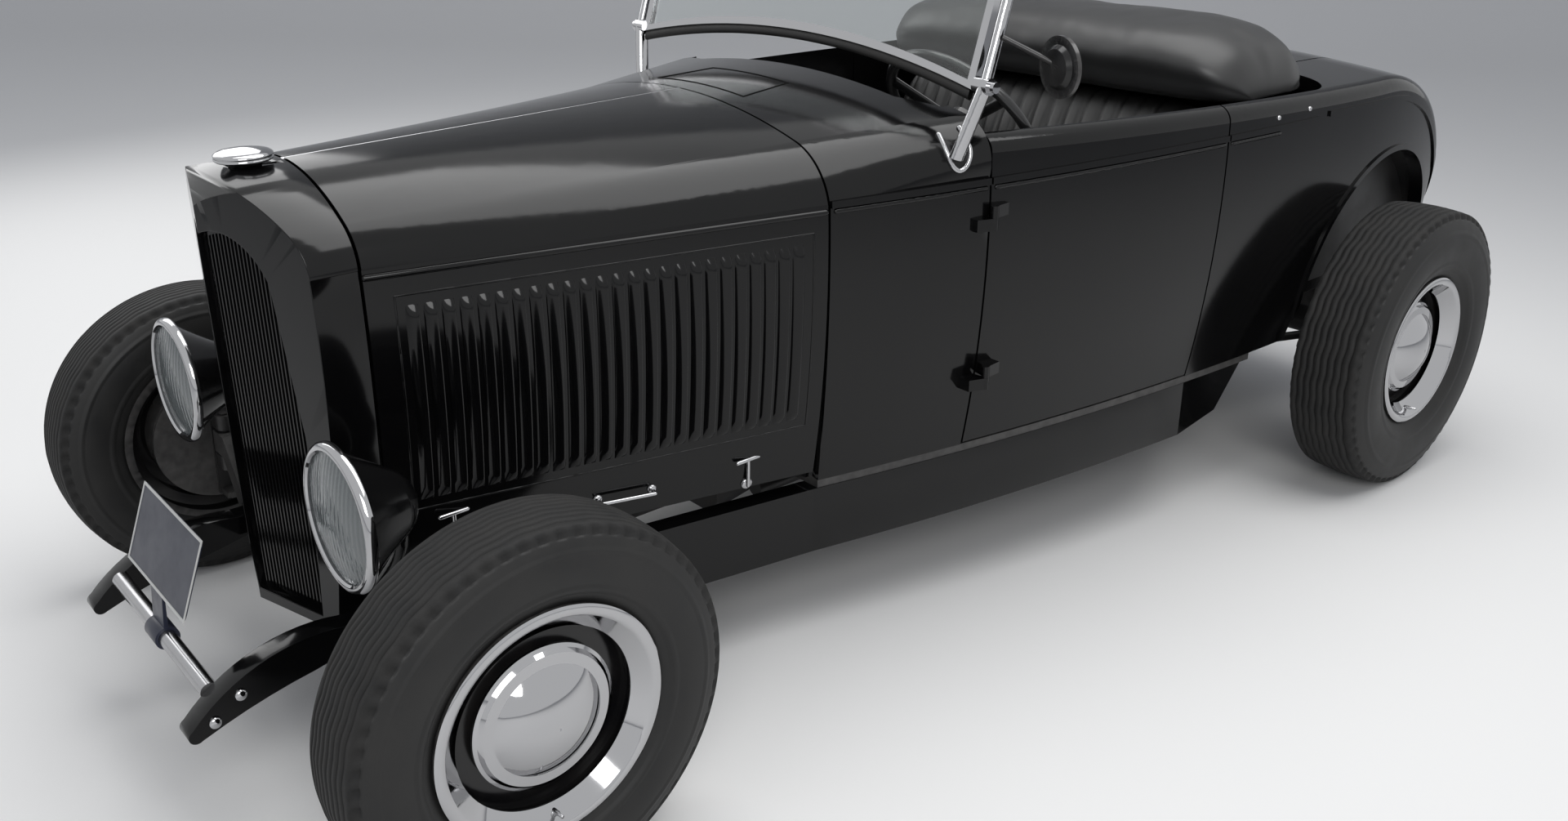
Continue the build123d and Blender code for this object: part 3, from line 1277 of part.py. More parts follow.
def boot_section():
    """The folded top under its cover, seen from the side."""
    with BuildSketch() as face:
        with BuildLine():
            Line((2060, 985), (2490, 985))
            ThreePointArc((2490, 985), (2488, 1086), (2424, 1148))
            ThreePointArc((2424, 1148), (2250, 1190), (2090, 1172))
            ThreePointArc((2090, 1172), (2010, 1110), (2060, 985))
        make_face()
    return face.sketch


with BuildPart() as top_boot:
    with BuildSketch(along(BOOT_END - BOOT_HALF)):
        add(boot_section())
    extrude(amount=2 * (BOOT_HALF - BOOT_END))
    for side, s in SIDES:
        with BuildSketch(Plane(origin=at(s * (BOOT_HALF - BOOT_END), 0, 0), x_dir=AFT * s, z_dir=(s, 0,
            0))):
            if s > 0:
                add(boot_section())
            else:
                mirror(boot_section(), about=Plane.YZ)
        extrude(amount=BOOT_END, taper=28)
    add(body_mass(SEAT_FIT, DOOR_REAR), mode=Mode.SUBTRACT)
    for panel in (quarter_left, quarter_right, deck_panel):
        add(panel.part, mode=Mode.SUBTRACT)
top_boot.part.label = "top_boot"
export_step(top_boot.part, "parts/top_boot.step")

# Steering column and wheel
slope = radians(COLUMN_SLOPE)
hub = level(STEER_X, STEER_Y, STEER_Z)
column_axis = Vector(0, cos(slope), sin(slope))
with BuildPart() as steering_column:
    with BuildSketch(Plane(origin=hub - column_axis * 34, x_dir=(1, 0, 0), z_dir=-column_axis)):
        Circle(21)
    extrude(amount=COLUMN_LENGTH)
    add(station_box(COWL_FRONT + FIREWALL + SEAT_FIT, 1600), mode=Mode.INTERSECT)
    with BuildSketch(Plane(origin=hub - column_axis * 34, x_dir=(1, 0, 0), z_dir=column_axis)):
        Circle(SHAFT_RADIUS)
    extrude(amount=30)
steering_column.part.label = "steering_column"
export_step(steering_column.part, "parts/steering_column.step")

with BuildPart() as steering_wheel:
    rim_plane = Plane(origin=hub, x_dir=(1, 0, 0), z_dir=column_axis)
    with BuildSketch(Plane(origin=hub, x_dir=(1, 0, 0), z_dir=(0, sin(slope), -cos(slope)))):
        with Locations((STEER_WHEEL_RADIUS - 12, 0)):
            Circle(12)
    revolve(axis=Axis(hub, column_axis))
    with BuildSketch(rim_plane.offset(-28)):
        Circle(34)
    extrude(amount=40)
    for angle in (90, 210, 330):
        tip = rim_plane.from_local_coords(
            Vector((STEER_WHEEL_RADIUS - 14) * cos(radians(angle)),
                (STEER_WHEEL_RADIUS - 14) * sin(radians(angle)), 0)
        )
        root = hub - column_axis * 10
        with BuildSketch(Plane(origin=root, z_dir=tip - root)):
            Ellipse(12, 5)
        extrude(amount=(tip - root).length)
    with BuildSketch(rim_plane.offset(-30)):
        Circle(SHAFT_RADIUS + PIN_FIT)
    extrude(amount=28, mode=Mode.SUBTRACT)
steering_wheel.part.label = "steering_wheel"
export_step(steering_wheel.part, "parts/steering_wheel.step")


# Front axle: dropped beam on king pins, transverse spring under the crossmember, hairpin radius rods
def rod(start, finish, radius):
    """A round bar between two points."""
    with BuildPart() as bar:
        with BuildSketch(Plane(origin=start, z_dir=finish - start)):
            Circle(radius)
        extrude(amount=(finish - start).length)
    return bar.part


with BuildPart() as front_axle:
    with BuildSketch(Plane(origin=level(0, 0, 0), x_dir=(1, 0, 0), z_dir=(0, -1, 0))):
        with BuildLine():
            Polyline(
                (-KING_PIN_HALF + 40, FRONT_TYRE + 26),
                (-KING_PIN_HALF - 20, FRONT_TYRE + 26),
                (-KING_PIN_HALF - 20, FRONT_TYRE - 26),
                (-KING_PIN_HALF + 28, FRONT_TYRE - 26),
                (-500, AXLE_HEIGHT - 24),
                (500, AXLE_HEIGHT - 24),
                (KING_PIN_HALF - 28, FRONT_TYRE - 26),
                (KING_PIN_HALF + 20, FRONT_TYRE - 26),
                (KING_PIN_HALF + 20, FRONT_TYRE + 26),
                (KING_PIN_HALF - 40, FRONT_TYRE + 26),
                (478, AXLE_HEIGHT + 24),
                (-478, AXLE_HEIGHT + 24),
                close=True,
            )
        make_face()
    extrude(amount=22, both=True)
    for side, s in SIDES:
        with BuildSketch(Plane.XY.offset(FRONT_TYRE - 40)):
            with Locations((s * KING_PIN_HALF, Y_FRONT_AXLE)):
                Circle(KING_PIN + PIN_FIT)
        extrude(amount=80, mode=Mode.SUBTRACT)
    # transverse spring between its two perches on the beam
    with BuildSketch(Plane(origin=level(0, 0, 0), x_dir=(1, 0, 0), z_dir=(0, -1, 0))):
        for leaf, half in enumerate(SPRING_LEAVES):
            with BuildLine():
                ends = []
                for radius in (SPRING_RADIUS - leaf * SPRING_LEAF,
                    SPRING_RADIUS - (leaf + 1) * SPRING_LEAF):
                    crest = SPRING_TOP - SPRING_RADIUS + radius
                    end = SPRING_TOP - SPRING_RADIUS + sqrt(radius**2 - half**2)
                    ThreePointArc((-half, end), (0, crest), (half, end))
                    ends.append(end)
                Line((-half, ends[0]), (-half, ends[1]))
                Line((half, ends[0]), (half, ends[1]))
            make_face()
        for x in (-SPRING_LEAVES[0] + 12, SPRING_LEAVES[0] - 12):
            with Locations((x, AXLE_HEIGHT + 32)):
                Rectangle(24, 28)
    extrude(amount=22, both=True)
    # split radius rods back to the gearbox crossmember
    for side, s in SIDES:
        foot = level(s * 228, 12, AXLE_HEIGHT - 6)
        add(rod(foot, at(s * 300, ROD_END - 31, 168), 13))
front_axle.part.label = "front_axle"
export_step(front_axle.part, "parts/front_axle.step")

# Knuckles: fork round the axle's end, spindle, brake backing plate and steering arm
for side, s in SIDES:
    with BuildPart() as knuckle:
        pin_x = s * KING_PIN_HALF
        for low, high in ((-66, -26 - RUN_CLEAR), (26 + RUN_CLEAR, 66)):
            with BuildSketch(Plane.XY.offset(FRONT_TYRE + low)):
                with Locations((pin_x, Y_FRONT_AXLE)):
                    Circle(20)
                with Locations((pin_x + s * 22, Y_FRONT_AXLE)):
                    Rectangle(44, 40)
            extrude(amount=high - low)
        with BuildSketch(Plane.XY.offset(FRONT_TYRE - 70)):
            with Locations((pin_x, Y_FRONT_AXLE)):
                Circle(KING_PIN)
        extrude(amount=140)
        with BuildSketch(Plane.XY.offset(FRONT_TYRE - 66)):
            with Locations((pin_x + s * 38, Y_FRONT_AXLE)):
                Rectangle(20, 44)
        extrude(amount=132)
        spindle = level(pin_x + s * 40, 0, FRONT_TYRE)
        with BuildSketch(Plane(origin=spindle, x_dir=(0, 1, 0), z_dir=(s, 0, 0))):
            Circle(HUB_RADIUS)
        extrude(amount=FRONT_TRACK / 2 + SPINDLE_END - KING_PIN_HALF - 40)
        with BuildSketch(Plane(origin=spindle, x_dir=(0, 1, 0), z_dir=(s, 0, 0))):
            Circle(DRUM_RADIUS + 6)
        extrude(amount=8)
        arm_low = level(pin_x, STEER_ARM, TIE_ROD_HEIGHT)
        with BuildSketch(Plane.XY.offset(TIE_ROD_HEIGHT + 14)):
            with Locations((pin_x, Y_FRONT_AXLE + STEER_ARM)):
                Circle(15)
            with Locations((pin_x, Y_FRONT_AXLE + STEER_ARM / 2)):
                Rectangle(22, STEER_ARM + 20)
            with Locations((pin_x + s * 20, Y_FRONT_AXLE)):
                Rectangle(56, 34)
        extrude(amount=14)
        with BuildSketch(Plane.XY.offset(TIE_ROD_HEIGHT + 14)):
            with Locations((pin_x + s * 38, Y_FRONT_AXLE)):
                Rectangle(20, 44)
        extrude(amount=FRONT_TYRE - 66 - TIE_ROD_HEIGHT)
        with BuildSketch(Plane.XY.offset(TIE_ROD_HEIGHT - 12)):
            with Locations((pin_x, Y_FRONT_AXLE + STEER_ARM)):
                Circle(BALL_PIN)
        extrude(amount=30)
    knuckle.part.label = f"knuckle_{side}"
    export_step(knuckle.part, f"parts/knuckle_{side}.step")

with BuildPart() as tie_rod:
    half = KING_PIN_HALF
    add(rod(level(-half + 14, STEER_ARM, TIE_ROD_HEIGHT), level(half - 14, STEER_ARM, TIE_ROD_HEIGHT), 10))
    for side, s in SIDES:
        with BuildSketch(Plane.XY.offset(TIE_ROD_HEIGHT - 12)):
            with Locations((s * half, Y_FRONT_AXLE + STEER_ARM)):
                Circle(17)
        extrude(amount=20)
        with BuildSketch(Plane.XY.offset(TIE_ROD_HEIGHT - 14)):
            with Locations((s * half, Y_FRONT_AXLE + STEER_ARM)):
                Circle(BALL_PIN + PIN_FIT)
        extrude(amount=30, mode=Mode.SUBTRACT)
tie_rod.part.label = "tie_rod"
export_step(tie_rod.part, "parts/tie_rod.step")

# Rear axle: banjo housing, tubes, backing plates, torque tube, radius rods and spring
with BuildPart() as rear_axle:
    add(rod(level(-REAR_PLATE, WHEELBASE, REAR_TYRE), level(REAR_PLATE, WHEELBASE, REAR_TYRE), 38))
    with BuildSketch(Plane(origin=level(0, WHEELBASE, REAR_TYRE), x_dir=(0, 1, 0), z_dir=(1, 0, 0))):
        Circle(AXLE_BANJO)
    extrude(amount=70, both=True)
    for side, s in SIDES:
        with BuildSketch(Plane(origin=level(s * REAR_PLATE, WHEELBASE, REAR_TYRE), x_dir=(0, 1, 0),
            z_dir=(s, 0, 0))):
            Circle(DRUM_RADIUS + 6)
        extrude(amount=8)
        with BuildSketch(Plane(origin=level(s * REAR_PLATE, WHEELBASE, REAR_TYRE), x_dir=(0, 1, 0),
            z_dir=(s, 0, 0))):
            Circle(HUB_RADIUS)
        extrude(amount=REAR_TRACK / 2 + SPINDLE_END - REAR_PLATE)
        with BuildSketch(Plane.XY.offset(REAR_TYRE)):
            with Locations((s * 400, Y_FRONT_AXLE + WHEELBASE)):
                Circle(34)
        extrude(amount=200)
    add(rod(at(0, GEARBOX_REAR - 20, 222), level(0, WHEELBASE - AXLE_BANJO + 12, REAR_TYRE), 36))
    for side, s in SIDES:
        add(rod(level(s * 60, 1700, 285), level(s * 560, WHEELBASE - 30, REAR_TYRE - 30), 12))
    with BuildSketch(Plane(origin=level(0, 1700, 285), x_dir=(1, 0, 0), z_dir=(0, -1, 0))):
        Rectangle(150, 40)
    extrude(amount=18, both=True)
    add(engine.part, mode=Mode.SUBTRACT)
    add(station_box(2400, 2900, CROSSMEMBERS[2][1] - SEAT_FIT, 900), mode=Mode.SUBTRACT)
rear_axle.part.label = "rear_axle"
export_step(rear_axle.part, "parts/rear_axle.step")

with BuildPart() as exhaust:
    for side, s in SIDES:
        add(rod(at(s * 250, 860, 262), at(s * 250, 1980, 262), 22))
        add(rod(at(s * 250, 1340, 262), at(s * 250, 1780, 262), 48))
        with BuildSketch(BODY.offset(186 + SEAT_FIT)):
            with Locations((s * 250, ROD_END)):
                Rectangle(30, 40)
        extrude(amount=66)
exhaust.part.label = "exhaust"
export_step(exhaust.part, "parts/exhaust.step")

# Fuel tank between the rear rails under the tail
with BuildPart() as fuel_tank:
    with BuildSketch(along(-430)):
        with BuildLine():
            Polyline((2960, 245), (3120, 210), (3240, 235), (3262, 300), (3255, 330), (2975, 330),
                close=True)
        make_face()
    extrude(amount=860)
    with BuildSketch(BODY.offset(300)):
        with Locations((0, 3110)):
            Rectangle(2 * (RAIL_REAR_HALF - RAIL_WIDTH - SEAT_FIT), 40)
    extrude(amount=10)
fuel_tank.part.label = "fuel_tank"
export_step(fuel_tank.part, "parts/fuel_tank.step")

# Tail lamps on the quarters' lower corners
with BuildPart() as tail_lamps:
    for side, s in SIDES:
        lamp = at(s * 455, BODY_REAR - 60, 430)
        with BuildSketch(Plane(origin=lamp, x_dir=(1, 0, 0), z_dir=AFT)):
            Circle(34)
        extrude(amount=70)
        with BuildSketch(Plane(origin=lamp + AFT * 70, x_dir=(1, 0, 0), z_dir=AFT)):
            Circle(30)
        extrude(amount=10, taper=30)
    add(outer_body, mode=Mode.SUBTRACT)
tail_lamps.part.label = "tail_lamps"
export_step(tail_lamps.part, "parts/tail_lamps.step")


# Wheels: hollow tyre, steel wheel with its brake drum, trim ring with hub cap
def wheel_plane(s, y, track, radius):
    """A section plane through the axle: x is outboard from the tyre's middle, y is the radius."""
    return Plane(origin=level(s * track / 2, y, radius), x_dir=(s, 0, 0), z_dir=(0, -s, 0))


def tyre_section(radius, width, rim_half):
    tread, crown = width * 0.40, 6
    with BuildSketch() as face:
        with BuildLine():
            Line((rim_half, RIM_RADIUS), (rim_half, RIM_RADIUS + 10))
            ThreePointArc((rim_half, RIM_RADIUS + 10), (width / 2,
                RIM_RADIUS + 10 + 0.48 * (radius - RIM_RADIUS - 10)),
                          (tread + 6, radius - 22))
            Line((tread + 6, radius - 22), (tread, radius - crown))
            ThreePointArc((tread, radius - crown), (0, radius), (-tread, radius - crown))
            Line((-tread, radius - crown), (-tread - 6, radius - 22))
            ThreePointArc((-tread - 6, radius - 22),
                          (-width / 2, RIM_RADIUS + 10 + 0.48 * (radius - RIM_RADIUS - 10)), (-rim_half,
                              RIM_RADIUS + 10))
            Line((-rim_half, RIM_RADIUS + 10), (-rim_half, RIM_RADIUS))
            Line((-rim_half, RIM_RADIUS), (-rim_half + 14, RIM_RADIUS))
            ThreePointArc((-rim_half + 14, RIM_RADIUS), (-width / 2 + 16, (RIM_RADIUS + radius) / 2),
                          (-tread + 4, radius - 30))
            Line((-tread + 4, radius - 30), (tread - 4, radius - 30))
            ThreePointArc((tread - 4, radius - 30), (width / 2 - 16, (RIM_RADIUS + radius) / 2),
                          (rim_half - 14, RIM_RADIUS))
            Line((rim_half - 14, RIM_RADIUS), (rim_half, RIM_RADIUS))
        make_face()
    return face.sketch


def rim_section(rim_half):
    """Steel wheel: drop-centre barrel, dished disc and brake drum."""
    seat, well, gauge = RIM_RADIUS - SEAT_FIT, RIM_RADIUS - 22, 4
    with BuildSketch() as face:
        with BuildLine():
            Polyline(
                (rim_half + 2, RIM_LIP), (rim_half + 7, RIM_LIP), (rim_half + 7, seat - gauge),
                (36, seat - gauge), (30, well - gauge), (22, well - gauge), (26, 118), (38, 92), (22, 84),
                    (8, 80),
                (8, HUB_RADIUS + PIN_FIT), (-12, HUB_RADIUS + PIN_FIT), (-12, DRUM_RADIUS - 8),
                (-52, DRUM_RADIUS - 8), (-52, DRUM_RADIUS), (2, DRUM_RADIUS), (4, 96), (16, 96), (18, 116),
                (14, well - gauge), (-30, well - gauge), (-36, seat - gauge), (-rim_half - 7, seat - gauge),
                (-rim_half - 7, RIM_LIP), (-rim_half - 2, RIM_LIP), (-rim_half - 2, seat), (-34, seat),
                (-28, well), (28, well), (34, seat), (rim_half + 2, seat), close=True,
            )
        make_face()
    return face.sketch


def trim_section(rim_half):
    """Domed hub cap with a stepped foot, and the trim ring round the rim."""
    foot, step, rise = 38 + SEAT_FIT, 96, 34
    dome = (step**2 + rise**2) / (2 * rise)
    middle = (foot + 16 + rise - dome + sqrt(dome**2 - (step / 2) ** 2), step / 2)
    with BuildSketch() as face:
        with BuildLine():
            Polyline((foot, 0), (foot, HUB_CAP_RADIUS), (foot + 5, HUB_CAP_RADIUS), (foot + 8,
                HUB_CAP_RADIUS - 6),
                     (foot + 14, HUB_CAP_RADIUS - 12), (foot + 16, step))
            ThreePointArc((foot + 16, step), middle, (foot + 50, 0))
            Line((foot + 50, 0), (foot, 0))
        make_face()
    return face.sketch


def ring_section(rim_half):
    with BuildSketch() as face:
        with BuildLine():
            edge = rim_half + 7 + SEAT_FIT
            Line((edge, RIM_LIP - 2), (edge + 4, RIM_LIP + 1))
            ThreePointArc((edge + 4, RIM_LIP + 1), (edge + 7, RIM_LIP - 8), (edge + 3, RIM_LIP - 19))
            Polyline((edge + 3, RIM_LIP - 19), (50, 158), (47, 158), (47, 162), (edge - 4, 181), (edge,
                183))
            Line((edge, 183), (edge, RIM_LIP - 2))
        make_face()
    return face.sketch


for end, station, track, radius, width, rim_half in WHEEL_SETS:
    for side, s in SIDES:
        section = wheel_plane(s, station, track, radius)
        axle = Axis(section.origin, (1, 0, 0))
        with BuildPart() as tyre:
            with BuildSketch(section):
                add(tyre_section(radius, width, rim_half))
            revolve(axis=axle)
        tyre.part.label = f"tyre_{end}_{side}"
        export_step(tyre.part, f"parts/tyre_{end}_{side}.step")
        with BuildPart() as rim:
            with BuildSketch(section):
                add(rim_section(rim_half))
            revolve(axis=axle)
        rim.part.label = f"rim_{end}_{side}"
        export_step(rim.part, f"parts/rim_{end}_{side}.step")
        with BuildPart() as wheel_trim:
            with BuildSketch(section):
                add(trim_section(rim_half))
            revolve(axis=axle)
            with BuildSketch(section):
                add(ring_section(rim_half))
            revolve(axis=axle)
        wheel_trim.part.label = f"wheel_trim_{end}_{side}"
        export_step(wheel_trim.part, f"parts/wheel_trim_{end}_{side}.step")
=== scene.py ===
"""Dresses the hot rod: finishes, tyres, louvres, latches, beads, trim, seat and folded-top cover."""
import json
import math

import bpy
from bpy.props import FloatProperty, FloatVectorProperty, IntProperty, PointerProperty
from mathutils import Matrix, Vector, noise


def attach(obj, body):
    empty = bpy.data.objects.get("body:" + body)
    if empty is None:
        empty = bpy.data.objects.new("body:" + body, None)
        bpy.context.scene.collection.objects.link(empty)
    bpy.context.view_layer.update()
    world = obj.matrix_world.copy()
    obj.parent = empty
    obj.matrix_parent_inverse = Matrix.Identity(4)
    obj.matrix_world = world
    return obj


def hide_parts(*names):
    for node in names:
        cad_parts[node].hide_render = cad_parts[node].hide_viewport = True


bl_info = {
    "name": "Hot Rod Dressing",
    "version": (1, 0, 0),
    "blender": (4, 5, 0),
    "location": "3D View > Sidebar > Hot Rod",
    "description": "Finishes, tyres, louvres, trim and upholstery of an open highboy hot rod",
    "category": "Object",
}

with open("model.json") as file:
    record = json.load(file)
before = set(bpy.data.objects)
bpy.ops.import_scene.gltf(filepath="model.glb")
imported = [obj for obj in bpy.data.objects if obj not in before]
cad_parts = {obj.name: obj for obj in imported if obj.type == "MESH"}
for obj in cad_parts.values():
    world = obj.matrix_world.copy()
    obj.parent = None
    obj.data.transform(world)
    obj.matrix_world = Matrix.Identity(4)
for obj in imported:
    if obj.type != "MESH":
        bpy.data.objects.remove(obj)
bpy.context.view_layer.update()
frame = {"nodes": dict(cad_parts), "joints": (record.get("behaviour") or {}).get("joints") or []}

# Body frame: raked nose down about the front axle's place on the ground
RAKE = math.radians(1.8)
AXLE_Y = next(j["pos_m"][1] for j in frame["joints"] if j["name"] == "steer_left")
AFT = Vector((0, math.cos(RAKE), math.sin(RAKE)))
UP = Vector((0, -math.sin(RAKE), math.cos(RAKE)))
SIDES = (("left", 1), ("right", -1))

# Places in millimetres, as in the solids: stations behind the front axle, heights in the body frame.
# Whole sizes are in millimetres too; radii, depths and turned profiles below 1 are in metres.
HOOD_FRONT, COWL_FRONT = 5, 872
HALF_FRONT, HALF_COWL = 275, 479
WIDEST, SIDE_LOW, SIDE_TUCK = 850, 340, 45
HOOD_SLOPE = math.atan2(HALF_COWL - HALF_FRONT, COWL_FRONT - HOOD_FRONT)
SIDE_BOW = (WIDEST - SIDE_LOW) ** 2 / (2 * SIDE_TUCK)
LAMP = (392, -127, 586)
LAMP_RADIUS = 122
SCREEN_PIVOT, SCREEN_TOP = (580, 1186, 1153), (580, 1268, 1408)
OUTSIDE, ABOVE = 900, 1300     # places beyond every panel, from which rays are cast inward and down

# Tyres: end, station, track, radius, width and half width at the rim
TYRES = (("front", 0, 1440, 337, 165, 62), ("rear", 2692, 1580, 385, 212, 74))
RIM_SEAT, RIM_LIP, BULGE_AT, WALL_STEPS = 200.5, 191.0, 0.48, 34
SIDEWALL_RINGS = ((0.16, 0.25, 2.4), (0.66, 0.71, 1.6))    # from and to, as shares of the wall, and how far out
TREAD_SHARE, TREAD_RIBS, CROWN_DROP = 0.40, 9, 6
GROOVE_MOUTH, GROOVE_FLOOR = 2.2, 1.5                      # half widths
# out from the tread, down from the crown and, on the shoulder, the kind of row
WALL_TOP = (6, 22)
SHOULDER = ((5.6, 19.5, 2), (4.2, 15, 2), (2.4, 10.5, 2), (-1, 6.2, 0))
TYRE_STEPS, NOTCH_STEPS, ZIGZAG_STEPS = 256, 4, 8
NOTCH_IN, NOTCH_DOWN = 4.6, 3.6
VALVE = ((0.0045, 0), (0.0045, 0.018), (0.003, 0.020), (0.003, 0.032), (0.0004, 0.033))
VALVE_FOOT, VALVE_DROP, VALVE_LEAN = 10, 0.170, 0.12

# Louvres and the seam round them, as stations and heights on the hood's side
LOUVRE_LOW, LOUVRE_HIGH, LOUVRE_FIRST, LOUVRE_PITCH, LOUVRE_WIDE = 505, 880, 70, 30, 24
LOUVRE_END, PRESS_SUNK = 14, 0.4                   # length of the rounded ends, millimetres set into the panel
LOUVRE_CREST, LOUVRE_LIP = 0.8, 0.92               # shares of the width
LOUVRE_SEAM = [(56, 486), (56, 898), (836, 898), (836, 486)]

# Latches (station, height of the bar, height of the foot), and the feet of the grab handle
LATCHES = ((126, 466, 424), (714, 436, 376))
LATCH_STUD, LATCH_OFF = (0.013, 0.007), (0.009, 0.011)
HANDLE_FEET, HANDLE_OFF = ((398, 420), (508, 416)), 0.018
HANDLE_BOSS = ((0.010, -0.001), (0.010, 0.003), (0.006, 0.006), (0.0004, 0.007))
ROD, CROSS_ROD, CROSS_HALF = 0.0042, 0.0048, 0.027

# Inside of the lamps: radii, and places ahead of the lamp's centre
REFLECTOR_RADIUS, REFLECTOR_BACK, REFLECTOR_DEPTH, REFLECTOR_ROWS = 0.108, -0.085, 0.078, 14
BULB = ((0.011, -0.082), (0.011, -0.06), (0.014, -0.05), (0.012, -0.036), (0.0005, -0.03))

# Trim on the body
BEAD_HEIGHT, BEAD_SUNK, SEAM_SUNK = 936, 0.0015, 0.0012
HOOD_BEAD, BELT_BEAD, SEAM_BEAD = 0.0065, 0.0058, 0.0024
HOOD_SPAN = (14, 862)
COWL_SPAN, DOOR_SPAN, QUARTER_SPAN = (884, 1235), (1262, 1957), (1986, 2170)
HORSESHOE, HORSESHOE_HALF, HORSESHOE_DROP, HORSESHOE_TAIL = (545, 1172, 1035), 26, 34, 44
HORSESHOE_OFF, HORSESHOE_ROD = 0.0015, 0.0055
# the cowl vent's outline is a thin near-black bar of the second size, painted shade in the gap round the lid
VENT_CORNERS, VENT_GAP_SHADE = [(-150, 925), (150, 925), (130, 1065), (-130, 1065)], 0.0016
HORN_BOLTS, BOLT_HEAD, LAMP_SCREW = ((-308, 260), (-355, 225)), (0.011, 0.008), 0.004
SNAP_STUDS, SNAP_HEAD = ((2160, 974), (2290, 980)), (0.0065, 0.005)
CAP = (0, -58, 1098)
CAP_PROFILE = (
    (0.0004, 0), (0.047, 0.0), (0.0495, 0.002), (0.0495, 0.0045), (0.047, 0.006), (0.0495, 0.0075),
    (0.0495, 0.0105), (0.048, 0.012), (0.044, 0.0145), (0.034, 0.0163), (0.017, 0.0174), (0.0004, 0.0178),
)
PLATE_LEAN, PLATE_FOOT, PLATE_HALF = math.radians(21), (0, -331, 356), (0.1525, 0.076)
PLATE_RIM = ((0, -0.0005), (0, 0.0012), (5, 0.0012), (5, -0.0005))
SEAL_ARC = ((-548, -12), (0, 50), (548, -12))
SEAL_SECTION = ((-6, 3), (6, 3), (7, -14), (3, -20), (-3, -20), (-7, -14))

# Upholstery: corners of the sections seen from the side are (station, height, share of the pleats' depth)
SEAT_HALF, SEAT_STATIONS, PLEAT_RISE, PLEAT_SINK, CHANNEL_WIDTH, STUFFING = 515, 150, 9, 11, 5.0, 1.6
CUSHION_SECTION = (
    (1612, 352, 0), (1590, 450, 0), (1568, 560, 0.6), (1588, 622, 1), (1660, 632, 1), (1800, 622, 1),
    (1930, 606, 1), (2036, 590, 0.4), (2040, 460, 0), (2030, 352, 0),
)
BACK_SECTION = (
    (1985, 612, 0.4), (1990, 700, 1), (2030, 830, 1), (2080, 940, 1), (2120, 974, 0.7), (2170, 970, 0.2),
    (2188, 920, 0), (2150, 760, 0), (2104, 612, 0),
)
COVER_HALF, COVER_BASE, COVER_STATIONS, COVER_FOLDS, PULL_FROM = 580, 1004, 132, 9, 0.62
COVER_SECTION = (
    (2070, 1000, 0), (2028, 1060, 0), (2026, 1110, 0), (2070, 1156, 0), (2150, 1176, 0), (2250, 1182, 0),
    (2350, 1170, 0), (2424, 1140, 0), (2472, 1090, 0), (2484, 1040, 0), (2478, 1000, 0), (2300, 996, 0),
)

# Studio, in metres: floor and backdrop, soft boxes (place, size, watts) and the solved camera
FLOOR_HALF, FLOOR_REACH, COVE, BACKDROP_TOP = 14, 9.0, 4, 12.0
FLOOR_COLOR, FLOOR_ROUGHNESS = (0.72, 0.715, 0.70, 1), 0.75
AIM = Vector((0, 0, 0.5))
SOFT_BOXES = (
    ("overhead", (0.5, 0.2, 4.6), (3.2, 6.0), 210),
    ("front_left", (4.6, -3.6, 3.4), (3.0, 2.4), 120),
    ("right_fill", (-4.5, -1.0, 3.0), (3.0, 3.0), 60),
)
LIT_COLOR, LIT_STRENGTH, SEEN_COLOR = (0.86, 0.9, 1.0, 1), 0.42, (0.8, 0.81, 0.82, 1)
FRAME_WIDTH, FOCAL_PIXELS, SHIFT_PIXELS, SENSOR = 1920, 1656.38, -36.25, 36
CAMERA_PLACE = Vector((2.34117, AXLE_Y - 0.90188, 1.59814))
CAMERA_AZIMUTH, CAMERA_HEIGHT, CAMERA_ROLL = (math.radians(v) for v in (48.75, 21.14, 1.3))


def at(x, y, v):
    """A point by side, station and height in the raked body frame: millimetres in, metres out."""
    return Vector((x / 1000, AXLE_Y, 0)) + AFT * (y / 1000) + UP * (v / 1000)


def level(x, y, z):
    """A point by side, distance behind the front axle and height above the ground."""
    return Vector((x / 1000, AXLE_Y + y / 1000, z / 1000))


def hood_side(y, v):
    """Outer face of the hood's side panel on the +X side, millimetres from the middle."""
    return HALF_COWL - (COWL_FRONT - y) * math.tan(HOOD_SLOPE) - (v - WIDEST) ** 2 / (2 * SIDE_BOW)


class HotRodSizes(bpy.types.PropertyGroup):
    louvres: IntProperty(name="Louvres", description="Louvres in each hood side", default=25, min=0, max=28)
    louvre_height: FloatProperty(name="Louvre height", description="How far a louvre stands out",
                                 default=0.008, unit="LENGTH", subtype="DISTANCE")
    groove_depth: FloatProperty(name="Tread depth", description="Depth of the tyre grooves",
                                default=0.006, unit="LENGTH", subtype="DISTANCE")
    pleat: FloatProperty(name="Pleat pitch", description="Distance between the seat's sewn channels",
                         default=0.052, unit="LENGTH", subtype="DISTANCE")
    crease: FloatProperty(name="Cover creases", description="Depth of the folds in the top's cover",
                          default=0.007, unit="LENGTH", subtype="DISTANCE")


class HotRodFinish(bpy.types.PropertyGroup):
    paint: FloatVectorProperty(name="Paint", description="Body colour",
                               default=(0.002, 0.002, 0.0022), size=3, subtype="COLOR", min=0, max=1)
    tread_dust: FloatVectorProperty(name="Tread dust", description="Colour of the dusty tread",
                                    default=(0.055, 0.052, 0.048), size=3, subtype="COLOR", min=0, max=1)
    dust: FloatProperty(name="Dust", description="How much dust lies on the tyres",
                        default=0.55, min=0, max=1, subtype="FACTOR")


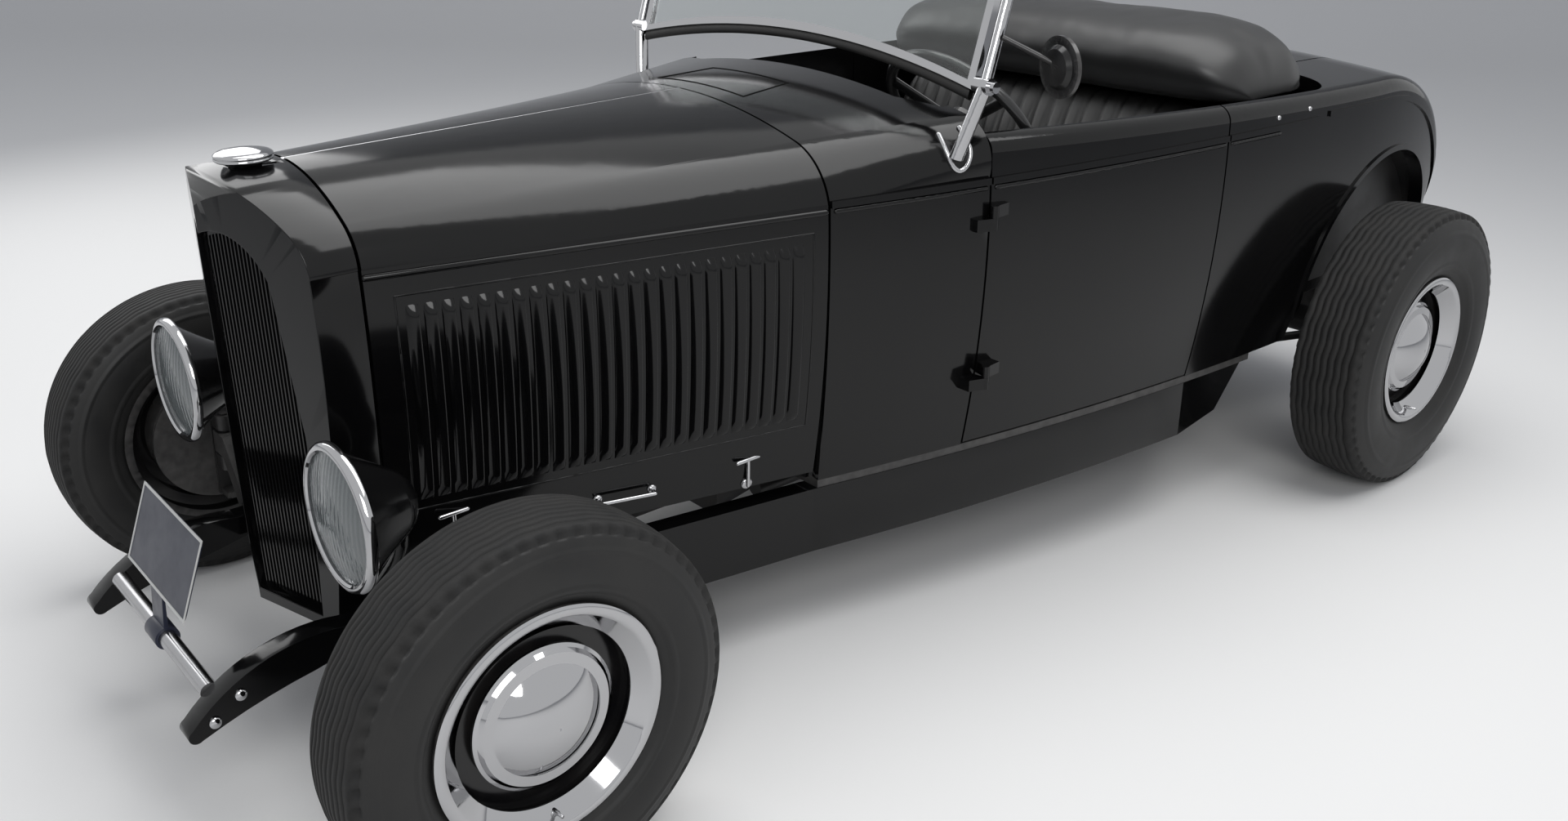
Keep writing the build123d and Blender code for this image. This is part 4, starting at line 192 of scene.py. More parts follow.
def new_effect(name, inputs, outputs):
    """A node group with its sockets, given as (name, default) and (name, kind), and its end nodes."""
    tree = bpy.data.node_groups.new(name, "ShaderNodeTree")
    for label, value in inputs:
        kind = "NodeSocketColor" if isinstance(value, tuple) else "NodeSocketFloat"
        tree.interface.new_socket(label, in_out="INPUT", socket_type=kind).default_value = value
    for label, kind in outputs:
        tree.interface.new_socket(label, in_out="OUTPUT", socket_type=kind)
    return tree, tree.nodes.new("NodeGroupInput"), tree.nodes.new("NodeGroupOutput")


def wire(tree, source, out, target, into):
    tree.links.new(source.outputs[out], target.inputs[into])


def maths(tree, operation, a, b, clamp=False):
    """A Math node; a and b are numbers or (node, output) pairs."""
    node = tree.nodes.new("ShaderNodeMath")
    node.operation, node.use_clamp = operation, clamp
    for index, value in enumerate((a, b)):
        if isinstance(value, tuple):
            tree.links.new(value[0].outputs[value[1]], node.inputs[index])
        else:
            node.inputs[index].default_value = value
    return node


def surface_film():
    """Patches of dust or haze over a base colour, a spread of roughness and a faint ripple."""
    tree, given, result = new_effect("surface_film", (
        ("Color", (0.5, 0.5, 0.5, 1)), ("Dust Color", (0.3, 0.28, 0.25, 1)), ("Dust", 0.1), ("Patch Scale", 6.0),
        ("Roughness", 0.4), ("Roughness Spread", 0.1), ("Ripple Scale", 200.0), ("Ripple", 0.1),
    ), (("Color", "NodeSocketColor"), ("Roughness", "NodeSocketFloat"), ("Normal", "NodeSocketVector")))
    nodes = tree.nodes
    place, patch = nodes.new("ShaderNodeTexCoord"), nodes.new("ShaderNodeTexNoise")
    patch.inputs["Detail"].default_value = 7
    patch.inputs["Roughness"].default_value = 0.62
    wire(tree, place, "Object", patch, "Vector")
    wire(tree, given, "Patch Scale", patch, "Scale")
    ramp = nodes.new("ShaderNodeMapRange")
    ramp.inputs["From Min"].default_value, ramp.inputs["From Max"].default_value = 0.36, 0.66
    wire(tree, patch, "Fac", ramp, "Value")
    amount = maths(tree, "MULTIPLY", (ramp, "Result"), (given, "Dust"), True)
    mix = nodes.new("ShaderNodeMix")
    mix.data_type = "RGBA"
    wire(tree, amount, 0, mix, "Factor")
    tree.links.new(given.outputs["Color"], mix.inputs[6])
    tree.links.new(given.outputs["Dust Color"], mix.inputs[7])
    tree.links.new(mix.outputs[2], result.inputs["Color"])
    centred = maths(tree, "SUBTRACT", (ramp, "Result"), 0.5)
    spread = maths(tree, "MULTIPLY", (centred, 0), (given, "Roughness Spread"))
    rough = maths(tree, "ADD", (spread, 0), (given, "Roughness"), True)
    wire(tree, rough, 0, result, "Roughness")
    fine = nodes.new("ShaderNodeTexNoise")
    fine.inputs["Detail"].default_value = 3
    wire(tree, place, "Object", fine, "Vector")
    wire(tree, given, "Ripple Scale", fine, "Scale")
    bump = nodes.new("ShaderNodeBump")
    bump.inputs["Distance"].default_value = 0.0005
    wire(tree, given, "Ripple", bump, "Strength")
    wire(tree, fine, "Fac", bump, "Height")
    wire(tree, bump, "Normal", result, "Normal")


def vinyl_grain():
    """Fine pebbled grain as a height."""
    tree, given, result = new_effect("vinyl_grain", [("Scale", 700.0)], [("Height", "NodeSocketFloat")])
    nodes = tree.nodes
    place, cells = nodes.new("ShaderNodeTexCoord"), nodes.new("ShaderNodeTexVoronoi")
    cells.feature = "DISTANCE_TO_EDGE"
    wire(tree, place, "Object", cells, "Vector")
    wire(tree, given, "Scale", cells, "Scale")
    height = nodes.new("ShaderNodeMapRange")
    height.inputs["From Max"].default_value = 0.25
    wire(tree, cells, "Distance", height, "Value")
    wire(tree, height, "Result", result, "Height")


def edge_wear():
    """A mask of sharp outer edges, broken up by noise."""
    tree, given, result = new_effect("edge_wear", [("Amount", 0.5)], [("Mask", "NodeSocketFloat")])
    nodes = tree.nodes
    geometry, rim = nodes.new("ShaderNodeNewGeometry"), nodes.new("ShaderNodeMapRange")
    rim.inputs["From Min"].default_value, rim.inputs["From Max"].default_value = 0.53, 0.6
    wire(tree, geometry, "Pointiness", rim, "Value")
    place, patch = nodes.new("ShaderNodeTexCoord"), nodes.new("ShaderNodeTexNoise")
    patch.inputs["Scale"].default_value = 45
    wire(tree, place, "Object", patch, "Vector")
    broken = maths(tree, "MULTIPLY", (rim, "Result"), (patch, "Fac"))
    scaled = maths(tree, "MULTIPLY", (broken, 0), (given, "Amount"), True)
    wire(tree, scaled, 0, result, "Mask")


# Finishes: colour, roughness, its spread, dust, patch scale, ripple scale, ripple, metallic, specular level
FINISHES = {
    "gloss_black_paint": ((0.002, 0.002, 0.0022), 0.12, 0.04, 0.012, 3, 60, 0.012, 0, 0.3),
    "satin_chassis_black": ((0.010, 0.010, 0.0105), 0.4, 0.16, 0.12, 9, 160, 0.2, 0, 0.35),
    "polished_chrome": ((0.45, 0.45, 0.46), 0.06, 0.04, 0.0, 12, 40, 0.01, 1, 0.5),
    "brushed_bright": ((0.40, 0.40, 0.41), 0.22, 0.12, 0.05, 14, 300, 0.05, 1, 0.5),
    "black_wheel_enamel": ((0.005, 0.005, 0.0055), 0.2, 0.08, 0.08, 10, 90, 0.04, 0, 0.4),
    "tyre_sidewall": ((0.0075, 0.0075, 0.0075), 0.55, 0.12, 0.16, 9, 500, 0.25, 0, 0.35),
    "tyre_tread": ((0.0115, 0.0115, 0.0115), 0.78, 0.1, 0.22, 16, 380, 0.5, 0, 0.3),
    "black_vinyl": ((0.007, 0.007, 0.0075), 0.4, 0.12, 0.04, 7, 120, 0.15, 0, 0.4),
    "seat_vinyl": ((0.008, 0.0078, 0.0078), 0.36, 0.1, 0.05, 9, 120, 0.15, 0, 0.45),
    "black_rim_plastic": ((0.006, 0.006, 0.006), 0.2, 0.08, 0.03, 10, 90, 0.03, 0, 0.45),
    "cast_engine_grey": ((0.03, 0.03, 0.032), 0.62, 0.15, 0.4, 12, 420, 0.7, 0.3, 0.4),
    "core_black": ((0.010, 0.010, 0.010), 0.55, 0.2, 0.2, 14, 600, 0.5, 0.3, 0.4),
    "bare_plate": ((0.010, 0.014, 0.032), 0.35, 0.15, 0.1, 14, 160, 0.1, 0, 0.45),
    "pale_edge": ((0.55, 0.55, 0.53), 0.4, 0.1, 0.1, 14, 160, 0.1, 0, 0.4),
    "black_rubber": ((0.006, 0.006, 0.006), 0.6, 0.12, 0.1, 12, 300, 0.25, 0, 0.3),
    # painted shade: near-black and dull, for the shade inside the louvres' openings and in the gap round the cowl
    # vent
    "dark_opening": ((0.0015, 0.0015, 0.0015), 0.8, 0.1, 0.0, 12, 200, 0.1, 0, 0.1),
}
DUST = (0.07, 0.062, 0.053)
DUST_AMOUNT = 0.55
WORN = ("satin_chassis_black", "black_wheel_enamel", "cast_engine_grey")
BARE_METAL = (0.14, 0.135, 0.13, 1)


def shader_base(name):
    material = bpy.data.materials.new(name)
    material.use_nodes = True
    tree = material.node_tree
    return material, tree, tree.nodes["Principled BSDF"]


def use_effect(tree, name):
    node = tree.nodes.new("ShaderNodeGroup")
    node.node_tree = bpy.data.node_groups[name]
    return node


def wave_bump(tree, shader, scale, distance, strength=1.0, kind="BANDS", bands="X"):
    """Presses a wave pattern into a shader."""
    place, wave = tree.nodes.new("ShaderNodeTexCoord"), tree.nodes.new("ShaderNodeTexWave")
    wave.wave_type, wave.bands_direction = kind, bands
    wave.inputs["Scale"].default_value = scale
    wire(tree, place, "Object", wave, "Vector")
    bump = tree.nodes.new("ShaderNodeBump")
    bump.inputs["Distance"].default_value, bump.inputs["Strength"].default_value = distance, strength
    wire(tree, wave, "Fac", bump, "Height")
    wire(tree, bump, "Normal", shader, "Normal")


def finish(name):
    """A finish from the table, made once."""
    if name in bpy.data.materials:
        return bpy.data.materials[name]
    color, rough, spread, dust, patch, ripple_scale, ripple, metallic, specular = FINISHES[name]
    look = bpy.context.scene.hot_rod_finish
    tyre = name.startswith("tyre")
    if name == "gloss_black_paint":
        color = tuple(look.paint)
    if tyre:
        dust *= look.dust / DUST_AMOUNT
    material, tree, shader = shader_base(name)
    film = use_effect(tree, "surface_film")
    film.inputs["Color"].default_value = (*color, 1)
    film.inputs["Dust Color"].default_value = (*(look.tread_dust if tyre else DUST), 1)
    for label, value in (
        ("Dust", dust), ("Patch Scale", patch), ("Roughness", rough), ("Roughness Spread", spread),
        ("Ripple Scale", ripple_scale), ("Ripple", ripple),
    ):
        film.inputs[label].default_value = value
    wire(tree, film, "Roughness", shader, "Roughness")
    shader.inputs["Metallic"].default_value = metallic
    shader.inputs["Specular IOR Level"].default_value = specular
    relief = film
    if "vinyl" in name:
        grain = use_effect(tree, "vinyl_grain")
        bump = tree.nodes.new("ShaderNodeBump")
        bump.inputs["Distance"].default_value = 0.0004
        bump.inputs["Strength"].default_value = 0.3
        wire(tree, grain, "Height", bump, "Height")
        wire(tree, film, "Normal", bump, "Normal")
        relief = bump
    if name in WORN:
        wear = use_effect(tree, "edge_wear")
        mix = tree.nodes.new("ShaderNodeMix")
        mix.data_type = "RGBA"
        mix.inputs[7].default_value = BARE_METAL
        wire(tree, wear, "Mask", mix, "Factor")
        tree.links.new(film.outputs["Color"], mix.inputs[6])
        tree.links.new(mix.outputs[2], shader.inputs["Base Color"])
    elif dust:
        wire(tree, film, "Color", shader, "Base Color")
    else:
        shader.inputs["Base Color"].default_value = (*color, 1)
    wire(tree, relief, "Normal", shader, "Normal")
    return material


def clear_glass():
    """Windshield glass with a faint haze."""
    material, tree, shader = shader_base("windshield_clear")
    shader.inputs["Base Color"].default_value = (0.93, 0.97, 0.96, 1)
    shader.inputs["Roughness"].default_value = 0.01
    shader.inputs["Transmission Weight"].default_value = 1.0
    shader.inputs["IOR"].default_value = 1.45
    film = use_effect(tree, "surface_film")
    film.inputs["Roughness"].default_value = 0.02
    film.inputs["Roughness Spread"].default_value = 0.02
    film.inputs["Ripple"].default_value = 0.0
    wire(tree, film, "Roughness", shader, "Roughness")
    return material


def fluted_lens():
    """Lamp glass pressed with upright flutes."""
    material, tree, shader = shader_base("fluted_lens")
    shader.inputs["Base Color"].default_value = (0.34, 0.37, 0.375, 1)
    shader.inputs["Roughness"].default_value = 0.04
    shader.inputs["Transmission Weight"].default_value = 0.7
    wave_bump(tree, shader, 26, 0.0006, 0.5)
    return material


def red_lens():
    """Tail lamp glass pressed with rings."""
    material, tree, shader = shader_base("red_lens")
    shader.inputs["Base Color"].default_value = (0.32, 0.006, 0.006, 1)
    shader.inputs["Roughness"].default_value = 0.12
    wave_bump(tree, shader, 30, 0.0006, kind="RINGS")
    return material


def radiator_fins():
    """Core of close level fins."""
    material = finish("core_black")
    tree = material.node_tree
    wave_bump(tree, tree.nodes["Principled BSDF"], 95, 0.003, bands="Z")
    return material


# Finish of each solid, by the start of its name; the first match counts
NODE_FINISHES = (
    ("radiator_cap", "polished_chrome"), ("radiator_shell", "gloss_black_paint"),
    ("spreader_bars", "brushed_bright"), ("headlamp_rims", "polished_chrome"),
    ("headlamp_shells", "gloss_black_paint"), ("headlamp_stands", "gloss_black_paint"),
    ("windshield_posts", "polished_chrome"),
    ("windshield_frame", "polished_chrome"), ("hood_hinge", "brushed_bright"), ("wheel_trim", "polished_chrome"),
    ("rim_", "black_wheel_enamel"), ("steering_wheel", "black_rim_plastic"), ("licence_plate", "bare_plate"),
    ("side_mirror", "black_wheel_enamel"), ("engine", "cast_engine_grey"), ("frame", "gloss_black_paint"),
    *((start, "satin_chassis_black") for start in (
        "front_axle", "rear_axle", "exhaust", "fuel_tank", "tie_rod", "knuckle", "steering_column", "floor",
        "trunk_floor", "wheelhouses",
    )),
    ("tyre", "tyre_sidewall"), ("seat", "seat_vinyl"), ("top_boot", "black_vinyl"),
)

# Rounding of the pressed and painted edges, by the start of the solid's name, in metres
EDGE_ROUNDS = (("radiator_shell", 0.007), ("frame", 0.003), ("licence_plate", 0.0006))


def piece(name, verts, faces, finishes, body, smooth=True, marks=None):
    """A mesh piece that rides on a body; marks gives each face's finish number."""
    mesh = bpy.data.meshes.new(name)
    mesh.from_pydata([tuple(v) for v in verts], [], faces)
    for label in finishes if isinstance(finishes, (list, tuple)) else [finishes]:
        mesh.materials.append(finish(label))
    if smooth:
        mesh.polygons.foreach_set("use_smooth", [True] * len(mesh.polygons))
    if marks:
        mesh.polygons.foreach_set("material_index", marks)
    mesh.validate()
    obj = bpy.data.objects.new(name, mesh)
    bpy.context.scene.collection.objects.link(obj)
    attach(obj, body)
    return obj


def basis(axis):
    """Two directions square to an axis."""
    axis = axis.normalized()
    first = axis.orthogonal().normalized()
    return first, axis.cross(first), axis


def rings(bands, count, base=0):
    """Faces between closed rings of points that follow one another."""
    faces = []
    for i in range(bands):
        for j in range(count):
            p, n = base + i * count, (j + 1) % count
            faces.append((p + j, p + n, p + count + n, p + count + j))
    return faces


def capped_rings(bands, count):
    """Rings with a face over each end."""
    return [*rings(bands, count), tuple(range(count))[::-1], tuple(range(bands * count, (bands + 1) * count))]


def quarter_turn(steps):
    return [math.pi / 2 * k / steps for k in range(steps + 1)]


def lathe(verts, faces, profile, centre, axis, steps=28):
    """Adds a turned form: profile rows are (radius, height along the axis) in metres."""
    a, b, c = basis(axis)
    faces.extend(rings(len(profile) - 1, steps, len(verts)))
    for radius, height in profile:
        for k in range(steps):
            t = 2 * math.pi * k / steps
            verts.append(centre + c * height + (a * math.cos(t) + b * math.sin(t)) * radius)


def dome(verts, faces, centre, axis, radius, height, steps=24):
    """A round-headed stud or bolt on a surface."""
    rows = [(radius, -0.001)]
    rows += [(radius * math.cos(t), height * (0.25 + 0.75 * math.sin(t))) for t in quarter_turn(6)]
    rows[-1] = (radius * 0.02, height)
    lathe(verts, faces, rows, centre, axis, steps)


def bar(verts, faces, start, end, radius, steps=16):
    """A round-ended bar."""
    axis, tip = end - start, 1e-5
    rows = [(radius * math.sin(t) + tip, -radius * math.cos(t)) for t in quarter_turn(5)]
    rows += [(radius * math.cos(t) + tip, axis.length + radius * math.sin(t)) for t in quarter_turn(5)]
    lathe(verts, faces, rows, start, axis, steps)


def chain(verts, faces, points, radius, steps, closed=False):
    """Bars from point to point."""
    ends = points[1:] + points[:1] if closed else points[1:]
    for start, end in zip(points, ends):
        bar(verts, faces, start, end, radius, steps)


def onto(node, origin, direction):
    """Where a ray meets a solid, with the surface's normal."""
    obj = frame["nodes"][node]
    hit, place, normal, _ = obj.ray_cast(origin, direction)
    if not hit:
        raise RuntimeError(f"nothing of {node} is met from {tuple(origin)}")
    return place, normal


def beside(node, s, y, v):
    """Where a ray from outside meets a solid's side, with the surface's normal."""
    return onto(node, at(s * OUTSIDE, y, v), Vector((-s, 0, 0)))


def leaning_face(lean):
    """The normal of a face that looks ahead and leans back, and the direction up along it."""
    normal = -AFT * math.cos(lean) + UP * math.sin(lean)
    return normal, normal.cross(Vector((1, 0, 0)))


def arc_through(a, b, c, count):
    """Points on the circle through three points, from the first to the last."""
    (ax, ay), (bx, by), (cx, cy) = a, b, c
    d = 2 * (ax * (by - cy) + bx * (cy - ay) + cx * (ay - by))
    ux = ((ax**2 + ay**2) * (by - cy) + (bx**2 + by**2) * (cy - ay) + (cx**2 + cy**2) * (ay - by)) / d
    uy = ((ax**2 + ay**2) * (cx - bx) + (bx**2 + by**2) * (ax - cx) + (cx**2 + cy**2) * (bx - ax)) / d
    radius = math.hypot(ax - ux, ay - uy)
    t0, t1, t2 = (math.atan2(y - uy, x - ux) for x, y in (a, b, c))
    while t1 - t0 > math.pi:
        t1 -= 2 * math.pi
    while t1 - t0 < -math.pi:
        t1 += 2 * math.pi
    while t2 - t1 > math.pi:
        t2 -= 2 * math.pi
    while t2 - t1 < -math.pi:
        t2 += 2 * math.pi
    angles = [t0 + (t2 - t0) * k / count for k in range(count + 1)]
    return [(ux + radius * math.cos(t), uy + radius * math.sin(t)) for t in angles]


class HOTROD_OT_finishes(bpy.types.Operator):
    """Give every solid of the car its finish"""
    bl_idname = "hotrod.finishes"
    bl_label = "Finishes"

    def execute(self, context):
        surface_film(), vinyl_grain(), edge_wear()
        special = {
            "windshield_glass": clear_glass(), "headlamp_lenses": fluted_lens(), "tail_lamps": red_lens(),
            "radiator": radiator_fins(),
        }
        for node, obj in frame["nodes"].items():
            material = special.get(node)
            if material is None:
                label = next((f for start, f in NODE_FINISHES if node.startswith(start)), "gloss_black_paint")
                material = finish(label)
            if obj.material_slots:
                for place in obj.material_slots:
                    place.material = material
            else:
                obj.data.materials.append(material)
            width = next((size for start, size in EDGE_ROUNDS if node.startswith(start)), 0)
            if width:
                obj.modifiers.new("edge_join", "WELD").merge_threshold = 0.00001
                bevel = obj.modifiers.new("edge_round", "BEVEL")
                bevel.width, bevel.segments, bevel.limit_method = width, 3, "ANGLE"
                bevel.angle_limit, bevel.harden_normals = math.radians(40), True
        return {"FINISHED"}


def tyre_rows(radius, width, rim_half, depth):
    """Rows across a tyre: side, radius, kind (1 follows the zigzag, 2 is notched) and 1 on the tread."""
    tread, low = width * TREAD_SHARE, RIM_SEAT
    top = (tread + WALL_TOP[0], radius - WALL_TOP[1])
    wall = arc_through((rim_half, low), (width / 2, low + BULGE_AT * (radius - low)), top, WALL_STEPS)
    side = [(rim_half - 1, RIM_LIP, 0, 0)]
    for u, r in wall:
        share = (r - low) / (radius - low)
        side.append((u + next((out for a, b, out in SIDEWALL_RINGS if a < share < b), 0), r, 0, 0))
    side += [(tread + out, radius - drop, kind, 1) for out, drop, kind in SHOULDER]
    middle = []
    for k in range(TREAD_RIBS - 1):
        c = (TREAD_RIBS / 2 - 1 - k) * (2 * tread / TREAD_RIBS)
        crown = radius - CROWN_DROP * (c / tread) ** 2
        middle += [(c + GROOVE_MOUTH, crown, 1, 1), (c + GROOVE_FLOOR, crown - depth, 1, 1),
                   (c - GROOVE_FLOOR, crown - depth, 1, 1), (c - GROOVE_MOUTH, crown, 1, 1)]
    return side + middle + [(-u, r, kind, mark) for u, r, kind, mark in reversed(side)]


class HOTROD_OT_tyres(bpy.types.Operator):
    """Build the four ribbed tyres with zigzag grooves, notched shoulders and ringed sidewalls, and their valves"""
    bl_idname = "hotrod.tyres"
    bl_label = "Tyres"

    def execute(self, context):
        depth = context.scene.hot_rod_sizes.groove_depth * 1000
        for end, station, track, radius, width, rim_half in TYRES:
            rows = tyre_rows(radius, width, rim_half, depth)
            count = len(rows)
            for name, s in SIDES:
                centre = level(s * track / 2, station, radius)
                verts, faces, marks = [], [], []
                for k in range(TYRE_STEPS):
                    t = 2 * math.pi * k / TYRE_STEPS
                    zig = abs(k % ZIGZAG_STEPS - ZIGZAG_STEPS // 2) - ZIGZAG_STEPS // 4
                    notched = k % NOTCH_STEPS < NOTCH_STEPS // 2
                    for u, r, kind, _ in rows:
                        if kind == 1:
                            u += zig
                        elif kind == 2 and notched:
                            u, r = u - math.copysign(NOTCH_IN, u), r - NOTCH_DOWN
                        verts.append(centre + Vector((s * u, r * math.cos(t), r * math.sin(t))) / 1000)
                for k in range(TYRE_STEPS):
                    p, n = k * count, (k + 1) % TYRE_STEPS * count
                    for i in range(count - 1):
                        quad = (p + i, p + i + 1, n + i + 1, n + i)
                        faces.append(quad if s > 0 else quad[::-1])
                        marks.append(1 if rows[i][3] and rows[i + 1][3] else 0)
                obj = piece(f"ribbed_tyre_{end}_{name}", verts, faces, ["tyre_sidewall", "tyre_tread"],
                            f"wheel_{end}_{name}", marks=marks)
                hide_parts(f"tyre_{end}_{name}")
                verts, faces = [], []
                foot = centre + Vector((s * (rim_half - VALVE_FOOT) / 1000, 0, -VALVE_DROP))
                lathe(verts, faces, VALVE, foot, Vector((s, 0, VALVE_LEAN)), 12)
                piece(f"valve_stem_{end}_{name}", verts, faces, "brushed_bright",
                      f"wheel_{end}_{name}")
        return {"FINISHED"}


class HOTROD_OT_louvres(bpy.types.Operator):
    """Press the louvres into the hood sides, with the seam round them and the bead above; the open side under each
    lip is painted shade
    """
    bl_idname = "hotrod.louvres"
    bl_label = "Hood louvres"

    def execute(self, context):
        sizes = context.scene.hot_rod_sizes
        tall, length = sizes.louvre_height * 1000, LOUVRE_HIGH - LOUVRE_LOW
        along, across = 28, 10
        for name, s in SIDES:
            verts, faces, marks = [], [], []
            out = Vector((s * math.cos(HOOD_SLOPE), 0, 0)) - AFT * math.sin(HOOD_SLOPE)
            for n in range(sizes.louvres):
                base, start = len(verts), LOUVRE_FIRST + n * LOUVRE_PITCH
                for i in range(along + 1):
                    t = i / along
                    ends = min(t, 1 - t) * length / LOUVRE_END
                    swell = math.sqrt(max(0.0, 1 - (1 - min(1, ends)) ** 2))
                    v = LOUVRE_LOW + length * t
                    for j in range(across + 1):
                        # the last row turns back down from the lip to the panel; that face is painted near-black as
                        # the shade in the louvre's opening
                        w = j / across
                        rise = tall * swell * math.sin(math.pi / 2 * min(1, w / LOUVRE_CREST)) ** 0.8
                        if j == across:
                            w, rise = LOUVRE_LIP, 0
                        y = start + LOUVRE_WIDE * w
                        verts.append(at(s * hood_side(y, v), y, v) + out * ((rise - PRESS_SUNK) / 1000))
                for i in range(along):
                    for j in range(across):
                        p = base + i * (across + 1) + j
                        quad = (p, p + across + 1, p + across + 2, p + 1)
                        faces.append(quad if s > 0 else quad[::-1])
                        # the face under the lip takes the painted shade finish
                        marks.append(1 if j == across - 1 else 0)
            piece(f"louvres_{name}", verts, faces, ["gloss_black_paint", "dark_opening"],
                  f"hood_{name}", marks=marks)
            verts, faces = [], []
            ends = [at(s * hood_side(y, BEAD_HEIGHT), y, BEAD_HEIGHT) - out * BEAD_SUNK for y in HOOD_SPAN]
            bar(verts, faces, ends[0], ends[1], HOOD_BEAD, 14)
            for (y0, v0), (y1, v1) in zip(LOUVRE_SEAM, LOUVRE_SEAM[1:] + LOUVRE_SEAM[:1]):
                row = []
                for k in range(9):
                    y, v = y0 + (y1 - y0) * k / 8, v0 + (v1 - v0) * k / 8
                    row.append(at(s * hood_side(y, v), y, v) - out * SEAM_SUNK)
                chain(verts, faces, row, SEAM_BEAD, 8)
            piece(f"hood_beads_{name}", verts, faces, "gloss_black_paint", f"hood_{name}")
        return {"FINISHED"}


class HOTROD_OT_hood_latches(bpy.types.Operator):
    """Set the bright T latches and the grab handle on each hood side"""
    bl_idname = "hotrod.hood_latches"
    bl_label = "Hood latches"

    def execute(self, context):
        for name, s in SIDES:
            verts, faces = [], []
            for y, top, foot in LATCHES:
                place, normal = beside(f"hood_side_{name}", s, y, foot)
                dome(verts, faces, place, normal, *LATCH_STUD)
                root, head = place + normal * LATCH_OFF[0], place + normal * LATCH_OFF[1] + UP * ((top - foot) / 1000)
                bar(verts, faces, root, head, ROD)
                bar(verts, faces, head - AFT * CROSS_HALF, head + AFT * CROSS_HALF, CROSS_ROD)
            feet = [beside(f"hood_side_{name}", s, y, v) for y, v in HANDLE_FEET]
            tops = [place + normal * HANDLE_OFF for place, normal in feet]
            for place, normal in feet:
                lathe(verts, faces, HANDLE_BOSS, place, normal, 20)
            for (place, _), top in zip(feet, tops):
                bar(verts, faces, place, top, ROD)
            bar(verts, faces, *tops, ROD)
            piece(f"hood_latches_{name}", verts, faces, "polished_chrome", f"hood_{name}")
        return {"FINISHED"}


class HOTROD_OT_lamp_insides(bpy.types.Operator):
    """Put a bright reflector and bulb behind each lamp lens"""
    bl_idname = "hotrod.lamp_insides"
    bl_label = "Lamp reflectors"

    def execute(self, context):
        ahead = Vector((0, -1, 0))
        for name, s in SIDES:
            centre = at(s * LAMP[0], LAMP[1], LAMP[2])
            shares = [k / REFLECTOR_ROWS for k in range(REFLECTOR_ROWS + 1)]
            rows = [(REFLECTOR_RADIUS * math.sqrt(t) + 0.0005, REFLECTOR_BACK + REFLECTOR_DEPTH * t) for t in shares]
            verts, faces = [], []
            lathe(verts, faces, rows, centre, ahead, 48)
            piece(f"lamp_reflector_{name}", verts, faces, "polished_chrome", "body")
            verts, faces = [], []
            lathe(verts, faces, BULB, centre, ahead, 24)
            piece(f"lamp_bulb_{name}", verts, faces, "pale_edge", "body")
        return {"FINISHED"}


class HOTROD_OT_small_trim(bpy.types.Operator):
    """Add frame horn bolts, lamp screws, snap studs, the turned radiator cap and the plate's pale edge"""
    bl_idname = "hotrod.small_trim"
    bl_label = "Small trim"

    def execute(self, context):
        verts, faces = [], []
        for name, s in SIDES:
            for y, z in HORN_BOLTS:
                place, normal = onto("frame", level(s * OUTSIDE, y, z), Vector((-s, 0, 0)))
                dome(verts, faces, place, normal, *BOLT_HEAD)
            below, r = at(s * LAMP[0], LAMP[1], LAMP[2] - LAMP_RADIUS - 4), LAMP_SCREW
            bar(verts, faces, below + Vector((-r, -r, 0)), below + Vector((r, -r, 0)), r, 10)
        piece("bolts_and_screws", verts, faces, "polished_chrome", "body")
        verts, faces = [], []
        for name, s in SIDES:
            for y, v in SNAP_STUDS:
                place, normal = beside(f"quarter_{name}", s, y, v)
                dome(verts, faces, place, normal, *SNAP_HEAD, 16)
        piece("snap_studs", verts, faces, "polished_chrome", "body")
        verts, faces = [], []
        lathe(verts, faces, CAP_PROFILE, at(*CAP), UP, 64)
        cap = piece("turned_radiator_cap", verts, faces, "polished_chrome", "body")
        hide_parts("radiator_cap")
        normal, upward = leaning_face(PLATE_LEAN)
        half_wide, half_high = PLATE_HALF
        place, _ = onto("licence_plate", at(*PLATE_FOOT) + upward * half_high + normal * 0.3, -normal)
        verts = []
        for inset, rise in PLATE_RIM:
            for cx, cy in ((-1, -1), (1, -1), (1, 1), (-1, 1)):
                along, up = cx * (half_wide - inset / 1000), cy * (half_high - inset / 1000)
                verts.append(place + Vector((along, 0, 0)) + upward * up + normal * rise)
        piece("plate_edge", verts, rings(3, 4), "pale_edge", "body", smooth=False)
        return {"FINISHED"}


